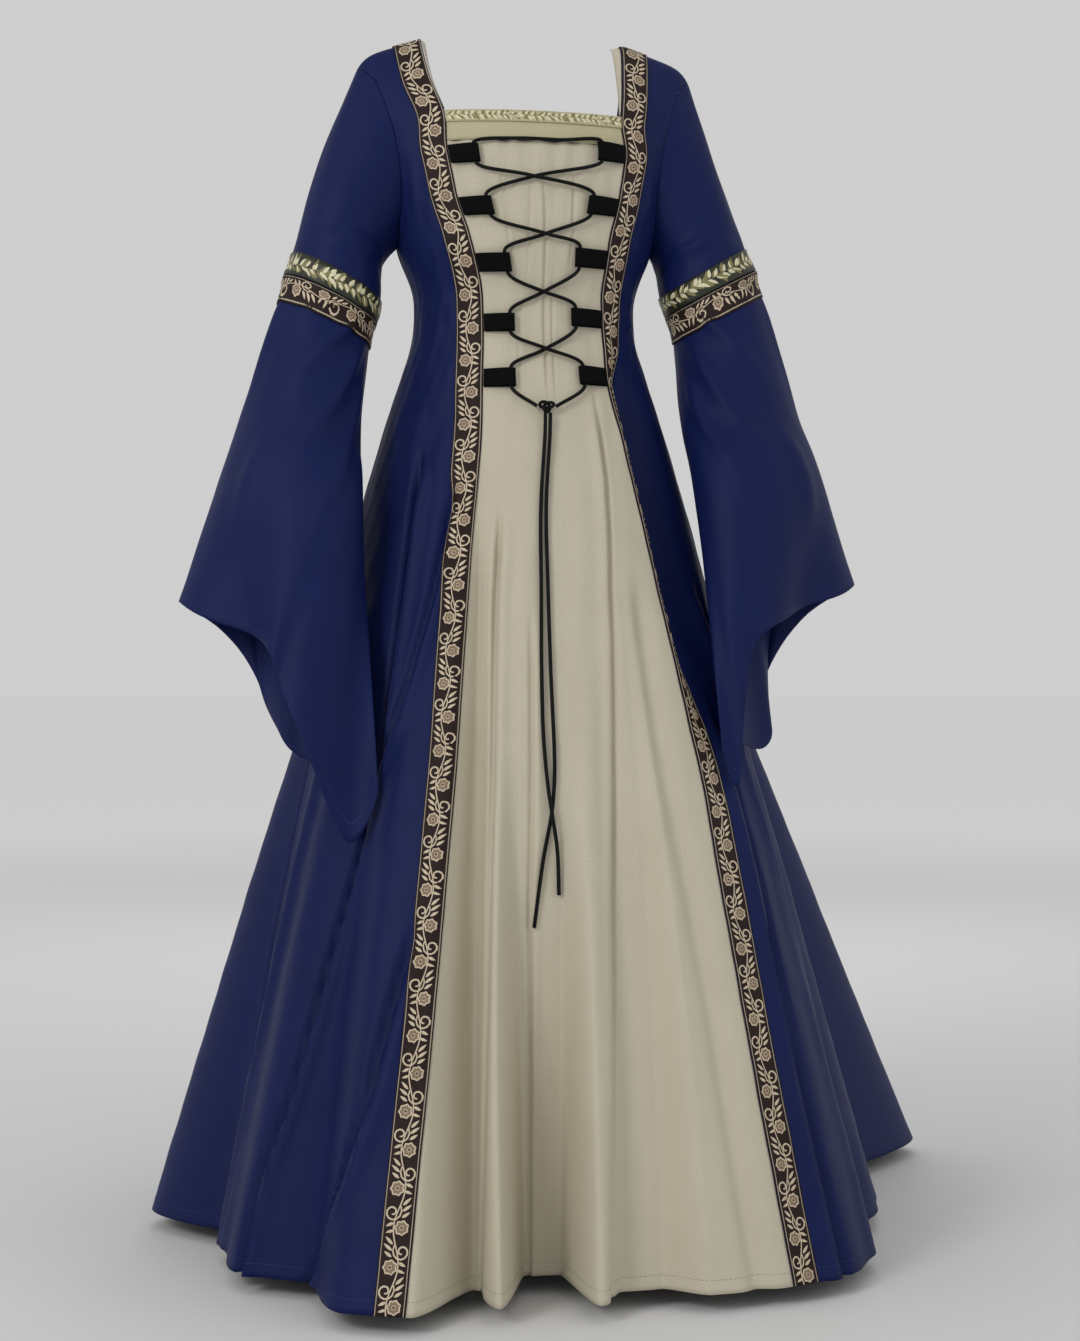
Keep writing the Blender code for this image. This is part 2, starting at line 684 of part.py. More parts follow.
LEAF_TOP, BAND_SEAM, FLORAL_END = 2.0, 3.0, 4.0     # rings where the arm bands start and end
PIECE_GAP = 0.006       # half the clear space between the sleeve's two pieces, as a part of a ring
BAND_GAP = 0.018        # the same between the two bands, which stand farther out


def arm_turn(i):
    """Columns round a sleeve, which meet the armhole at its rows."""
    half = ARM_COLUMNS // 2
    s = ROWS[-1 - (i if i <= half else ARM_COLUMNS - i)]
    turn = math.acos(1 - 2 * s / ARMPIT)
    return turn if i <= half else 2 * math.pi - turn


def make_sleeves():
    for side, name in ((-1, "right"), (1, "left")):
        def ring_wall(node, levels, lifts, colour, roughness):
            def spot(i, j, lift):
                return arm_lifted(side, arm_turn(i) * -side, levels[j], lift)

            wall(node + name, ARM_COLUMNS, len(levels) - 1, spot, lifts, colour, roughness, True)

        above, below = BAND_SEAM - PIECE_GAP, BAND_SEAM + PIECE_GAP
        ring_wall("upper_sleeve_", [above, LEAF_TOP, 1.5, 1.0, 0.5, 0.0], PANEL, BLUE, 0.5)
        ring_wall("lower_sleeve_", [7.0, 6.7, 6.35, 6.0, 5.5, 5.0, 4.5, FLORAL_END, below], PANEL, BLUE, 0.5)
        ring_wall("arm_band_leaf_", [BAND_SEAM - BAND_GAP, LEAF_TOP], LAID, OLIVE, 0.45)
        ring_wall("arm_band_floral_", [FLORAL_END, BAND_SEAM + BAND_GAP], LAID, DARK_BROWN, 0.5)


SURFACE = (0.16, 1.0, 1.0)      # metres in each unit of a lace point: across, height, lift


def lace_spot(w, s, lift):
    return tuple(body_lifted(front_angle(w, s), s, lift))


def across_at(side, s, distance):
    """Place across the front, 0 to 1, that lies a distance in from a trim's edge."""
    first, last = front_angle(0, s), front_angle(1, s)
    return (walk(edge_angle(side, s), s, -side * distance) - first) / (last - first)


def tab_profile(length):
    """Section of a folded tab: distance from the trim, height over the panel; back layer first."""
    low = LAID_ON + TAB_WALL + TAB_UNDER
    middle = low + LOOP_RADIUS
    end = length - LOOP_RADIUS - TAB_WALL
    points = [(TAB_START, low), (end * 0.5, low), (end, low)]
    for k in range(1, 6):
        turn = -math.pi / 2 + math.pi * k / 6
        reach = LOOP_RADIUS + TAB_WALL
        points.append((end + reach * math.cos(turn), middle + LOOP_RADIUS * math.sin(turn)))
    points += [(end, middle + LOOP_RADIUS), (end * 0.5, low + LOOP_RADIUS + TAB_WALL),
               (TAB_START, low + TAB_WALL + TAB_JOIN)]
    return points, end, middle


def make_tabs():
    for row, sizes in enumerate(TABS):
        for side, name in ((-1, "right"), (1, "left")):
            height, length = sizes[:2] if side < 0 else sizes[2:]
            profile, _, _ = tab_profile(length)

            def spot(i, j):
                distance, lift = profile[i if side < 0 else len(profile) - 1 - i]
                return lace_spot(across_at(side, height, distance), height + TAB_HEIGHT * (j / 2 - 0.5), lift)

            folded("tab_%s_%d" % (name, row + 1), len(profile) - 1, 2, spot, TAB_WALL, BLACK, 0.8)


def make_lace():
    under = LAID_ON + LACE / 2 + LACE_UNDER
    over = under + LACE + LACE_OVER

    def loop(side, row):
        height, length = TABS[row][:2] if side < 0 else TABS[row][2:]
        _, end, middle = tab_profile(length)
        w = across_at(side, height, end)
        low, high = height - TAB_HEIGHT / 2 - LOOP_RUN, height + TAB_HEIGHT / 2 + (LOOP_RUN if row else LOOP_RUN_TOP)
        return (w, low, middle), (w, height, middle), (w, high, middle)

    route = []
    for row in (4, 3, 2, 1, 0):
        side = 1 if row % 2 == 0 else -1
        route += loop(side, row)
        if row:
            height, across = CROSSINGS[row - 1]
            route.append((across, height, over if row % 2 == 0 else under))
    for k in range(TOP_RUN):
        t = (k + 1) / (TOP_RUN + 1)
        start, end = loop(1, 0)[2], loop(-1, 0)[2]
        route.append((start[0] + (end[0] - start[0]) * t, (start[1] + end[1]) / 2 + TOP_LIFT, under))
    for row in (0, 1, 2, 3, 4):
        side = -1 if row % 2 == 0 else 1
        route += reversed(loop(side, row))
        if row < 4:
            height, across = CROSSINGS[row]
            route.append((across, height, over if row % 2 == 0 else under))
    reach = (KNOT_HALF[0] + SEAM) / SURFACE[0]
    knot_lift = KNOT_HALF[1] + LAID_ON + KNOT_UNDER
    first = (KNOT_ACROSS + reach, KNOT_HEIGHT, knot_lift)
    last = (KNOT_ACROSS - reach, KNOT_HEIGHT, knot_lift)
    route = [first] + route + [last]
    spans = []
    for a, b in zip(route, route[1:]):
        long = abs(a[0] - b[0]) * SURFACE[0] + abs(a[1] - b[1])
        spans.append(1 if long < 0.015 else 2 if long < 0.03 else 3 if long < 0.09 else 6)
    tube("lacing", [lace_spot(*spot) for spot in smooth_path(route, spans, SURFACE)], LACE, BLACK)

    knot = bmesh.new()
    bmesh.ops.create_uvsphere(knot, u_segments=14, v_segments=8, radius=1.0)
    centre = Vector(lace_spot(KNOT_ACROSS, KNOT_HEIGHT, knot_lift))
    for vert in knot.verts:
        vert.co = Vector((vert.co[k] * KNOT_HALF[k] for k in range(3))) + centre
    for face in knot.faces:
        face.smooth = True
    mesh = bpy.data.meshes.new("knot")
    knot.to_mesh(mesh)
    knot.free()
    place(mesh, "knot", BLACK, 0.6)

    for name, rows in (("lace_end_long", LONG_END), ("lace_end_short", SHORT_END)):
        lifts = [knot_lift, KNOT_HALF[1]] + [LACE / 2 + LACE_FREE] * (len(rows) - 2)
        if name == "lace_end_short":
            for k, row in enumerate(rows):
                lifts[k] += CROSS_RISE * max(0.0, 1 - abs(row[1] - ENDS_CROSS) / CROSS_RUN)
        points = [(w, s, lift) for (w, s), lift in zip(rows, lifts)]
        tube(name, [lace_spot(*spot) for spot in smooth_path(points, [4] * (len(points) - 1), SURFACE)], LACE, BLACK)


make_front()
make_sides()
make_backs()
make_facings()
make_sleeves()
make_tabs()
make_lace()
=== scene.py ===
# Long medieval-style dress in worn shape: navy side panels, laced beige front, woven trims, bell sleeves.
# Metres, +Z up, front towards -Y. "right" and "left" are the wearer's: right is -X, left is +X.
import math
import random

import bmesh
import bpy
import numpy as np
from mathutils import Matrix, Vector


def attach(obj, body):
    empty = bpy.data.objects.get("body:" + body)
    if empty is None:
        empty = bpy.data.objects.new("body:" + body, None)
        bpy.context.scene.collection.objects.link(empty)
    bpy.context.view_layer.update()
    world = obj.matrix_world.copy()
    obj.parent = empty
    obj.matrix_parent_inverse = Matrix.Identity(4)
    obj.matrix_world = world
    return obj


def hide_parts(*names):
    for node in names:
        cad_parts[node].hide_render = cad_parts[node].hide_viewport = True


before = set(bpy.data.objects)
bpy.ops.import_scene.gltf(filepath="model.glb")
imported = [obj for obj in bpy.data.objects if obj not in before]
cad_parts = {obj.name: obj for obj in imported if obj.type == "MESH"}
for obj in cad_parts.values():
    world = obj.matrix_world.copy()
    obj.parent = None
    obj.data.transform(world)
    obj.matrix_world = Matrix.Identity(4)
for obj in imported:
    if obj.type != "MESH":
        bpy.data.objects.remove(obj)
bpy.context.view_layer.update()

camera = {"azimuth": 10.0, "distance": 2.75, "aside": 0.019, "height": -0.7375, "metresPerPixel": 0.00118,
          "frameHeight": 1341}


def makeCamera():
    turn = math.radians(camera["azimuth"])
    forward = Vector((math.sin(turn), math.cos(turn), 0.0))
    right = Vector((math.cos(turn), -math.sin(turn), 0.0))
    made = bpy.data.objects.new("camera", bpy.data.cameras.new("camera"))
    made.location = right * camera["aside"] - forward * camera["distance"] + Vector((0, 0, camera["height"]))
    made.rotation_euler = (math.radians(90), 0.0, -turn)
    made.data.sensor_fit = "VERTICAL"
    made.data.sensor_height = 36.0
    made.data.lens = 36.0 * camera["distance"] / (camera["frameHeight"] * camera["metresPerPixel"])
    bpy.context.scene.collection.objects.link(made)
    bpy.context.scene.camera = made


makeCamera()
print("camera placed")

# ---- the dress's outer face, the same form as the solids ----

shape = {
    "hem": -1.375, "neckline": -0.098, "yokeEnd": -0.134, "braidEnd": -0.112, "armpit": -0.245,
    "neckHalf": 0.119, "shoulderLength": 0.0796, "shoulderSlope": 0.30, "shoulderDrop": 0.0165, "shoulderRound": 9, "backNeck": -0.075, "trimWidth": 0.0325,
    "seam": 0.0003, "laidOn": 0.0005, "cloth": 0.0007, "band": 0.0009,
}
hem, armpit = shape["hem"], shape["armpit"]

# height, half width, depth of the front and of the back
bodyRows = (
    (0.000, 0.215, 0.0014, 0.0014), (-0.002, 0.215, 0.0190, 0.0190), (-0.008, 0.215, 0.0300, 0.0290),
    (-0.020, 0.214, 0.0410, 0.0390), (-0.045, 0.210, 0.0580, 0.0550), (-0.075, 0.203, 0.0750, 0.0680),
    (-0.120, 0.186, 0.0940, 0.0820), (-0.180, 0.166, 0.1080, 0.0920), (-0.245, 0.151, 0.1120, 0.0940),
    (-0.310, 0.130, 0.1000, 0.0840), (-0.340, 0.131, 0.0990, 0.0850), (-0.400, 0.147, 0.1090, 0.0980),
    (-0.440, 0.160, 0.1190, 0.1120), (-0.540, 0.190, 0.1460, 0.1520), (-0.700, 0.235, 0.1980, 0.2140),
    (-0.840, 0.273, 0.2480, 0.2680), (-0.960, 0.310, 0.2890, 0.3180), (-1.375, 0.430, 0.4200, 0.5000),
)
# height, angle of the neck and trim edge on the right and on the left, from centre front
edgeRows = (
    (0.000, -35.5, 31.5), (-0.050, -34.8, 31.0), (-0.098, -32.6, 31.4), (-0.150, -35.2, 36.2),
    (-0.190, -35.0, 36.3), (-0.245, -30.9, 33.4), (-0.300, -29.0, 35.8), (-0.345, -27.8, 35.8),
    (-0.410, -25.3, 32.4), (-0.480, -23.5, 34.1), (-0.600, -24.0, 34.8), (-0.830, -23.8, 35.0),
    (-0.950, -23.6, 32.9), (-1.150, -23.4, 30.6), (-1.375, -23.6, 29.2),
)
armholeRows = (
    (0.000, 67.5), (-0.020, 61.5), (-0.045, 57.0), (-0.080, 56.0), (-0.120, 58.0), (-0.187, 66.0),
    (-0.220, 74.0), (-0.238, 82.0), (-0.245, 90.0),
)
# back edge of the neck opening: height, angles from centre back on the right and on the left
backEdgeRows = ((0.000, 35.4, 31.7), (-0.020, 36.2, 34.0), (-0.050, 36.8, 36.2), (-0.075, 37.0, 37.0))
sideSeamHem = {-1: 82, 1: 105}
# angle where a fold starts, angle at the hem, ridge (+) or trough (-) at the hem, height where it starts
foldRows = np.array((
    (-180, -180, -0.050, -0.55), (-165, -164, 0.040, -0.50), (-149, -148, -0.065, -0.58),
    (-133, -132, 0.050, -0.52), (-118, -117, -0.045, -0.60), (-102, -101, 0.010, -0.50),
    (-84, -82, -0.075, -0.56), (-70, -70, -0.050, -0.56), (-60, -56, -0.012, -0.46),
    (-50, -44, -0.030, -0.46), (-38, -31, 0.051, -0.46), (-27, -23, 0.047, -0.50),
    (-22, -17.5, -0.066, -0.46), (-17, -12.5, 0.005, -0.50), (-11, -9.0, -0.125, -0.82),
    (0, -2.2, -0.125, -0.82), (8, 0.9, 0.000, -0.60), (19, 6.0, -0.047, -0.58),
    (23, 12.0, -0.044, -0.60), (27, 17.5, -0.003, -0.60), (40, 29.6, 0.018, -0.50),
    (48, 39.0, 0.030, -0.50), (58, 50.0, 0.012, -0.55), (68, 66.0, -0.040, -0.60),
    (82, 82.0, -0.010, -0.55), (96, 95.0, 0.010, -0.50), (106, 105.0, 0.035, -0.55),
    (119, 119.0, 0.250, -0.36), (131, 131, 0.185, -0.42), (143, 143, 0.110, -0.48),
    (157, 157, 0.010, -0.56), (169, 169, 0.040, -0.50), (180, 180, -0.050, -0.55),
))
# the deep fold whose inner wall carries the left trim: height, depth
tuckRows = (
    (-0.300, 0.000), (-0.360, 0.006), (-0.420, 0.024), (-0.500, 0.034), (-0.620, 0.035),
    (-0.690, 0.029), (-0.760, 0.016), (-0.840, 0.005), (-0.960, 0.000), (-1.375, 0.000),
)
tuckRun = {"fall": 0.030, "rise": 0.075}
# soft creases: angle and height of the start and of the end, half width, height (-) for a groove
bodyCreases = (
    (-46, -0.27, -70, -0.315, 0.008, 0.0022), (-44, -0.31, -74, -0.335, 0.007, 0.0024),
    (-48, -0.35, -78, -0.352, 0.008, 0.0020), (50, -0.28, 74, -0.318, 0.008, 0.0022),
    (52, -0.32, 78, -0.338, 0.007, 0.0024), (56, -0.36, 80, -0.355, 0.008, 0.0018),
    (-52, -0.15, -62, -0.23, 0.009, 0.0022), (50, -0.14, 62, -0.22, 0.009, 0.0022),
    (-40, -0.45, -36, -0.62, 0.010, 0.0022), (-55, -0.42, -50, -0.60, 0.012, 0.0024),
    (12, -0.44, 10, -0.72, 0.010, 0.0016), (-8, -0.50, -9, -0.80, 0.012, 0.0020),
)


# narrow folds: half width and depth in metres, then height and angle down the line
foldLines = (
    (0.0034, 0.0100, ((-0.54, -15.2), (-0.66, -16.1), (-0.876, -15.8), (-1.081, -15.7), (-1.375, -16.1))),
    (0.0028, 0.0050, ((-0.66, -6.0), (-0.98, -7.7), (-1.375, -8.3))),
    (0.0032, 0.0068, ((-0.40, 25.0), (-0.522, 23.4), (-0.659, 18.2), (-0.983, 9.6), (-1.281, 4.6), (-1.375, 3.4))),
    (0.0120, 0.0080, ((-0.62, 28.4), (-0.808, 25.7), (-1.081, 25.6), (-1.288, 24.6), (-1.375, 24.4))),
    (0.0040, 0.0036, ((-0.55, -22.2), (-0.66, -21.6), (-1.083, -20.8), (-1.375, -19.9))),
    (0.0018, 0.0026, ((-0.136, 0.5), (-0.204, 2.0), (-0.316, 2.8), (-0.460, 3.3))),
    (0.0017, 0.0020, ((-0.150, -2.9), (-0.182, -3.5), (-0.310, -6.2))),
    (0.0017, 0.0020, ((-0.140, 14.4), (-0.290, 14.5))),
    (0.0017, 0.0018, ((-0.140, -15.2), (-0.216, -14.7), (-0.290, -13.0))),
    (0.0018, 0.0020, ((-0.270, 7.4), (-0.455, 6.4))),
    (0.0018, 0.0012, ((-0.300, -10.4), (-0.440, -9.0))),
    (0.0044, 0.0170, ((-0.48, -49.5), (-0.522, -48.4), (-0.70, -45.9), (-0.877, -45.6), (-0.938, -47.2), (-1.023, -49.2),
                      (-1.094, -50.7), (-1.196, -52.7), (-1.268, -55.1), (-1.375, -55.5))),
    (0.0040, 0.0100, ((-0.50, -31.0), (-0.66, -34.7), (-0.748, -38.1), (-0.828, -43.6), (-0.877, -45.6))),
    (0.0044, 0.0130, ((-0.98, -28.0), (-1.023, -28.7), (-1.108, -31.0), (-1.177, -32.2), (-1.257, -35.4), (-1.375, -43.8))),
    (0.0046, 0.0110, ((-0.75, 50.0), (-0.883, 46.4), (-1.032, 42.5), (-1.177, 39.8), (-1.375, 38.0))),
    (0.0054, 0.0120, ((-0.62, 62.0), (-0.84, 60.3), (-1.10, 62.0), (-1.375, 66.0))),
    (0.0050, 0.0130, ((-0.70, -72.0), (-1.0, -74.0), (-1.375, -77.0))),
    (0.0050, 0.0130, ((-0.60, -128.0), (-1.0, -126.0), (-1.375, -123.0))),
    (0.0050, 0.0130, ((-0.55, 152.0), (-1.0, 155.0), (-1.375, 158.0))),
)


def smoothTable(rows):
    # reads a table's columns at any value of its first, on smooth curves with no overshoot
    table = np.array(sorted(rows), float)
    keys, values = table[:, 0], table[:, 1:]
    steps = np.diff(values, axis=0) / np.diff(keys)[:, None]
    a, b = steps[:-1], steps[1:]
    inner = np.where(a * b > 0, 2 * a * b / np.where(a * b > 0, a + b, 1.0), 0.0)
    slopes = np.vstack([steps[:1], inner, steps[-1:]])

    def read(at):
        at = np.clip(np.asarray(at, float), keys[0], keys[-1])
        i = np.clip(np.searchsorted(keys, at, side="right") - 1, 0, len(keys) - 2)
        run = (keys[i + 1] - keys[i])[..., None]
        t = (at - keys[i])[..., None] / run
        found = ((2 * t**3 - 3 * t**2 + 1) * values[i] + (t**3 - 2 * t**2 + t) * run * slopes[i]
                 + (3 * t**2 - 2 * t**3) * values[i + 1] + (t**3 - t**2) * run * slopes[i + 1])
        return np.moveaxis(found, -1, 0)
    return read


readBody, readEdge, readTuck = smoothTable(bodyRows), smoothTable(edgeRows), smoothTable(tuckRows)
readArmhole, readBackEdge = smoothTable(armholeRows), smoothTable(backEdgeRows)


def ease(t):
    t = np.clip(t, 0.0, 1.0)
    return t * t * (3 - 2 * t)


def edgeAngle(side, s):
    return np.radians(readEdge(s)[0 if side < 0 else 1])


def tuckDepth(angle, s):
    depth = np.where(s < tuckRows[0][0], readTuck(s)[0], 0.0)
    halfWidth, front = readBody(s)[:2]
    run = (angle - edgeAngle(1, s)) * (halfWidth + front) / 2
    fall, rise = tuckRun["fall"], tuckRun["rise"]
    wall = np.where(run < fall, ease(run / fall), ease(1 - (run - fall) / rise))
    return np.where((run < 0) | (run > fall + rise), 0.0, depth * wall)


def foldHeight(angle, s):
    top, low, height, start = foldRows.T
    drop = np.clip((-0.45 - s) / (-0.45 - hem), 0.0, 1.0)[..., None]
    degrees = np.degrees(angle)
    places = top + (low - top) * drop
    grown = height * np.maximum(0.0, (start - s[..., None]) / (start - hem)) ** 1.2
    i = np.clip((degrees[..., None] > places).sum(-1) - 1, 0, len(foldRows) - 2)[..., None]

    def pick(table, k):
        return np.take_along_axis(table, k, -1)[..., 0]

    t = (degrees - pick(places, i)) / (pick(places, i + 1) - pick(places, i))
    return pick(grown, i) + (pick(grown, i + 1) - pick(grown, i)) * ease(t)


def crease(across, along, table, scale):
    # height of listed creases; scale turns across to metres
    total = np.zeros_like(along)
    for a0, s0, a1, s1, width, height in table:
        run, rise = (a1 - a0) * scale, s1 - s0
        x, y = (across - a0) * scale, along - s0
        length = np.sqrt(run * run + rise * rise)
        t = (x * run + y * rise) / (length * length)
        off = (x * rise - y * run) / length
        fade = ease(np.clip(t, 0, 1) * 2.5) * ease((1 - np.clip(t, 0, 1)) * 2.5)
        total = total + height * fade * np.exp(-(off / width) ** 2)
    return total


def foldLineHeight(degrees, s, radius):
    # a groove with a soft ridge beside it, fading in over 80 mm and out again unless it meets the hem
    total = np.zeros_like(s)
    for width, depth, route in foldLines:
        heights, angles = np.array(route[::-1]).T
        off = np.radians(degrees - np.interp(s, heights, angles)) * radius
        run = min(0.08, (heights[-1] - heights[0]) * 0.4)
        fade = ease((heights[-1] - s) / run)
        if heights[0] > hem:
            fade = fade * ease((s - heights[0]) / run)
        side = 1.0 if angles[0] < 0 else -1.0
        total = total + depth * fade * (0.45 * np.exp(-((off - side * 2.6 * width) / (2.2 * width)) ** 2)
                                        - np.exp(-(off / width) ** 2))
    return total


def unevenness(x, y):
    # soft wander of worn cloth, a few tenths of a millimetre
    return (0.00045 * np.sin(x * 61 + 1.3 * np.sin(y * 23)) * np.sin(y * 37 + 0.7 + np.sin(x * 29))
            + 0.00035 * np.sin(x * 117 + y * 41) * np.sin(y * 83 - x * 31 + 2.0))


def bodyPoint(angle, s, plain=False):
    # plain leaves out the creases, for what is stretched over the cloth
    angle, s = np.broadcast_arrays(np.asarray(angle, float), np.asarray(s, float))
    halfWidth, front, back = readBody(s)
    degrees = np.degrees(angle)
    worn = ease((-0.03 - s) / 0.08)
    out = foldHeight(angle, s) - tuckDepth(angle, s)
    if not plain:
        out = (out + crease(degrees, s, bodyCreases, np.radians(1) * 0.15) + foldLineHeight(degrees, s, halfWidth)
               + unevenness(angle * 0.3, s) * worn)
    depth = np.where(np.cos(angle) > 0, front, back)
    x = (halfWidth + out) * np.sin(angle)
    y = -(depth + out) * np.cos(angle)
    gone = np.maximum(0.0, np.abs(x) - shape["neckHalf"])
    sloped = (shape["shoulderSlope"] * gone
              + shape["shoulderDrop"] * (gone / shape["shoulderLength"]) ** shape["shoulderRound"])
    return np.stack([x, y, s - sloped * ease((s - armpit) / -armpit)], axis=-1)


def gridNormals(points, closed=False):
    # columns run to the wearer's left round the front and rows run up, so this points out
    if closed:
        across = np.roll(points, -1, axis=1) - np.roll(points, 1, axis=1)
    else:
        across = np.gradient(points, axis=1)
    normal = np.cross(across, np.gradient(points, axis=0))
    return normal / np.maximum(np.linalg.norm(normal, axis=-1, keepdims=True), 1e-12)


def walkAngle(start, s, distance):
    # angle that lies a distance round each level section from another angle
    angles = start[:, None] + math.copysign(1.0, distance) * np.linspace(0.0, 0.7, 141)
    points = bodyPoint(angles, s[:, None])
    gone = np.cumsum(np.linalg.norm(np.diff(points, axis=1), axis=-1), axis=1)
    gone = np.hstack([np.zeros((len(s), 1)), gone])
    return np.array([np.interp(abs(distance), g, a) for g, a in zip(gone, angles)])


def outerEdge(side, s):
    seamLine = 90 + (sideSeamHem[side] - 90) * (armpit - s) / (armpit - hem)
    return side * np.radians(np.where(s > armpit, readArmhole(s)[0], seamLine))


def rowHeights(low, high):
    # rows close together where the shoulder turns over, 5 to 6 mm apart elsewhere
    stops = [0.0, -0.0004, -0.001, -0.002, -0.0035, -0.0055, -0.008, -0.0115, -0.0155, -0.020, -0.025]
    rows = [s for s in stops if low < s < high]
    count = max(1, round((min(high, -0.03) - low) / 0.0056))
    rows += list(np.linspace(low, min(high, -0.03), count + 1))
    if high > -0.03:
        rows.append(high)
    return np.array(sorted(set(rows)))


# ---- small helpers: colours, nodes, meshes ----

def hexColour(text):
    channels = [int(text[k:k + 2], 16) / 255 for k in (0, 2, 4)]
    return tuple(c / 12.92 if c <= 0.04045 else ((c + 0.055) / 1.055) ** 2.4 for c in channels) + (1.0,)


def addNode(tree, kind, settings=None, values=None, links=None):
    # one node with its settings, input values and links from other nodes' outputs
    node = tree.nodes.new(kind)
    for key, value in (settings or {}).items():
        setattr(node, key, value)
    for key, value in (values or {}).items():
        node.inputs[key].default_value = value
    for key, source in (links or {}).items():
        tree.links.new(source, node.inputs[key])
    return node


def newMaterial(name):
    made = bpy.data.materials.new(name)
    made.use_nodes = True
    made.node_tree.nodes.clear()
    return made, made.node_tree


def stepCounts(points):
    # metres along each row and each column, for the weave's direction and scale
    across = np.linalg.norm(np.diff(points, axis=1), axis=-1)
    along = np.linalg.norm(np.diff(points, axis=0), axis=-1)
    u = np.hstack([np.zeros((points.shape[0], 1)), np.cumsum(across, axis=1)])
    v = np.vstack([np.zeros((1, points.shape[1])), np.cumsum(along, axis=0)])
    return u - u.mean(axis=1, keepdims=True), np.repeat(v.mean(axis=1, keepdims=True), points.shape[1], axis=1)


def gridMesh(name, points, closed=False, drop=None, uv=None):
    # a sheet from rows and columns of points, with a UV map in metres
    rows, cols = points.shape[:2]
    lap = np.concatenate([points, points[:, :1]], axis=1) if closed else points
    u, v = stepCounts(lap) if uv is None else uv
    faces, corners = [], []
    for r in range(rows - 1):
        for c in range(cols if closed else cols - 1):
            if drop is not None and drop(r, c):
                continue
            d = (c + 1) % cols
            faces.append((r * cols + c, r * cols + d, (r + 1) * cols + d, (r + 1) * cols + c))
            corners += [(u[r, c], v[r, c]), (u[r, c + 1], v[r, c + 1]),
                        (u[r + 1, c + 1], v[r + 1, c + 1]), (u[r + 1, c], v[r + 1, c])]
    mesh = bpy.data.meshes.new(name)
    mesh.from_pydata([tuple(p) for p in points.reshape(-1, 3)], [], faces)
    layer = mesh.uv_layers.new(name="UVMap")
    layer.data.foreach_set("uv", np.array(corners, dtype=np.float32).ravel())
    mesh.polygons.foreach_set("use_smooth", [True] * len(faces))
    if drop is not None:
        work = bmesh.new()
        work.from_mesh(mesh)
        bmesh.ops.delete(work, geom=[vert for vert in work.verts if not vert.link_faces], context="VERTS")
        work.to_mesh(mesh)
        work.free()
    mesh.update()
    return mesh


def place(mesh, name, material, slotName, *replaced):
    made = bpy.data.objects.new(name, mesh)
    bpy.context.scene.collection.objects.link(made)
    mesh.materials.clear()
    mesh.materials.append(material)
    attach(made, "root")
    if replaced:
        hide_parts(*replaced)
    return made


def thicken(made, thickness):
    solid = made.modifiers.new("wall", "SOLIDIFY")
    solid.thickness = thickness
    solid.offset = -1.0
    return made


# ---- materials ----

def clothMaterial(name, colours, threadMm, roughness, sheen, specular, mottle, bump, slub=0.0):
    # colours: darker and lighter hex of the yarn; threadMm: one over-and-under of the weave
    made, tree = newMaterial(name)
    uv = addNode(tree, "ShaderNodeUVMap", {"uv_map": "UVMap"})
    place3d = addNode(tree, "ShaderNodeTexCoord")
    scale = 1000.0 / threadMm * 2 * math.pi / 20.0      # a wave band repeats every 2 pi / 20 units
    warp = addNode(tree, "ShaderNodeTexWave", {"wave_type": "BANDS", "bands_direction": "X"},
                   {"Scale": scale, "Distortion": 1.2, "Detail": 1.0, "Detail Scale": 0.6}, {"Vector": uv.outputs[0]})
    weft = addNode(tree, "ShaderNodeTexWave", {"wave_type": "BANDS", "bands_direction": "Y"},
                   {"Scale": scale, "Distortion": 1.2, "Detail": 1.0, "Detail Scale": 0.6}, {"Vector": uv.outputs[0]})
    weave = addNode(tree, "ShaderNodeMath", {"operation": "MULTIPLY"}, None, {0: warp.outputs["Fac"], 1: weft.outputs["Fac"]})
    cloudy = addNode(tree, "ShaderNodeTexNoise", None, {"Scale": 14.0, "Detail": 4.0, "Roughness": 0.6},
                     {"Vector": place3d.outputs["Object"]})
    stretch = addNode(tree, "ShaderNodeMapping", None, {"Scale": (900.0, 14.0, 1.0)}, {"Vector": uv.outputs[0]})
    slubs = addNode(tree, "ShaderNodeTexNoise", None, {"Scale": 1.0, "Detail": 3.0, "Roughness": 0.7},
                    {"Vector": stretch.outputs[0]})
    blend = addNode(tree, "ShaderNodeMath", {"operation": "MULTIPLY_ADD"}, {1: mottle}, {0: cloudy.outputs["Fac"], 2: weave.outputs[0]})
    streak = addNode(tree, "ShaderNodeMath", {"operation": "MULTIPLY_ADD"}, {1: slub}, {0: slubs.outputs["Fac"], 2: blend.outputs[0]})
    ramp = addNode(tree, "ShaderNodeValToRGB", None, None, {"Fac": streak.outputs[0]})
    ramp.color_ramp.elements[0].position = 0.05
    ramp.color_ramp.elements[0].color = hexColour(colours[0])
    ramp.color_ramp.elements[1].position = 0.95 + mottle * 0.5 + slub * 0.5
    ramp.color_ramp.elements[1].color = hexColour(colours[1])
    raised = addNode(tree, "ShaderNodeBump", None, {"Strength": bump, "Distance": 0.0004}, {"Height": streak.outputs[0]})
    shader = addNode(tree, "ShaderNodeBsdfPrincipled", None,
                     {"Roughness": roughness, "Sheen Weight": sheen, "Sheen Roughness": 0.45, "Specular IOR Level": specular},
                     {"Base Color": ramp.outputs[0], "Normal": raised.outputs[0]})
    shader.inputs["Sheen Tint"].default_value = hexColour(colours[1])
    addNode(tree, "ShaderNodeOutputMaterial", None, None, {"Surface": shader.outputs[0]})
    return made


# brushed polyester satin: soft broad highlights down the folds, nearly black-blue in the hollows
navySatin = clothMaterial("navy brushed polyester satin", ("060F38", "11235F"), 1.2, 0.58, 0.0, 0.16, 0.35, 0.10)
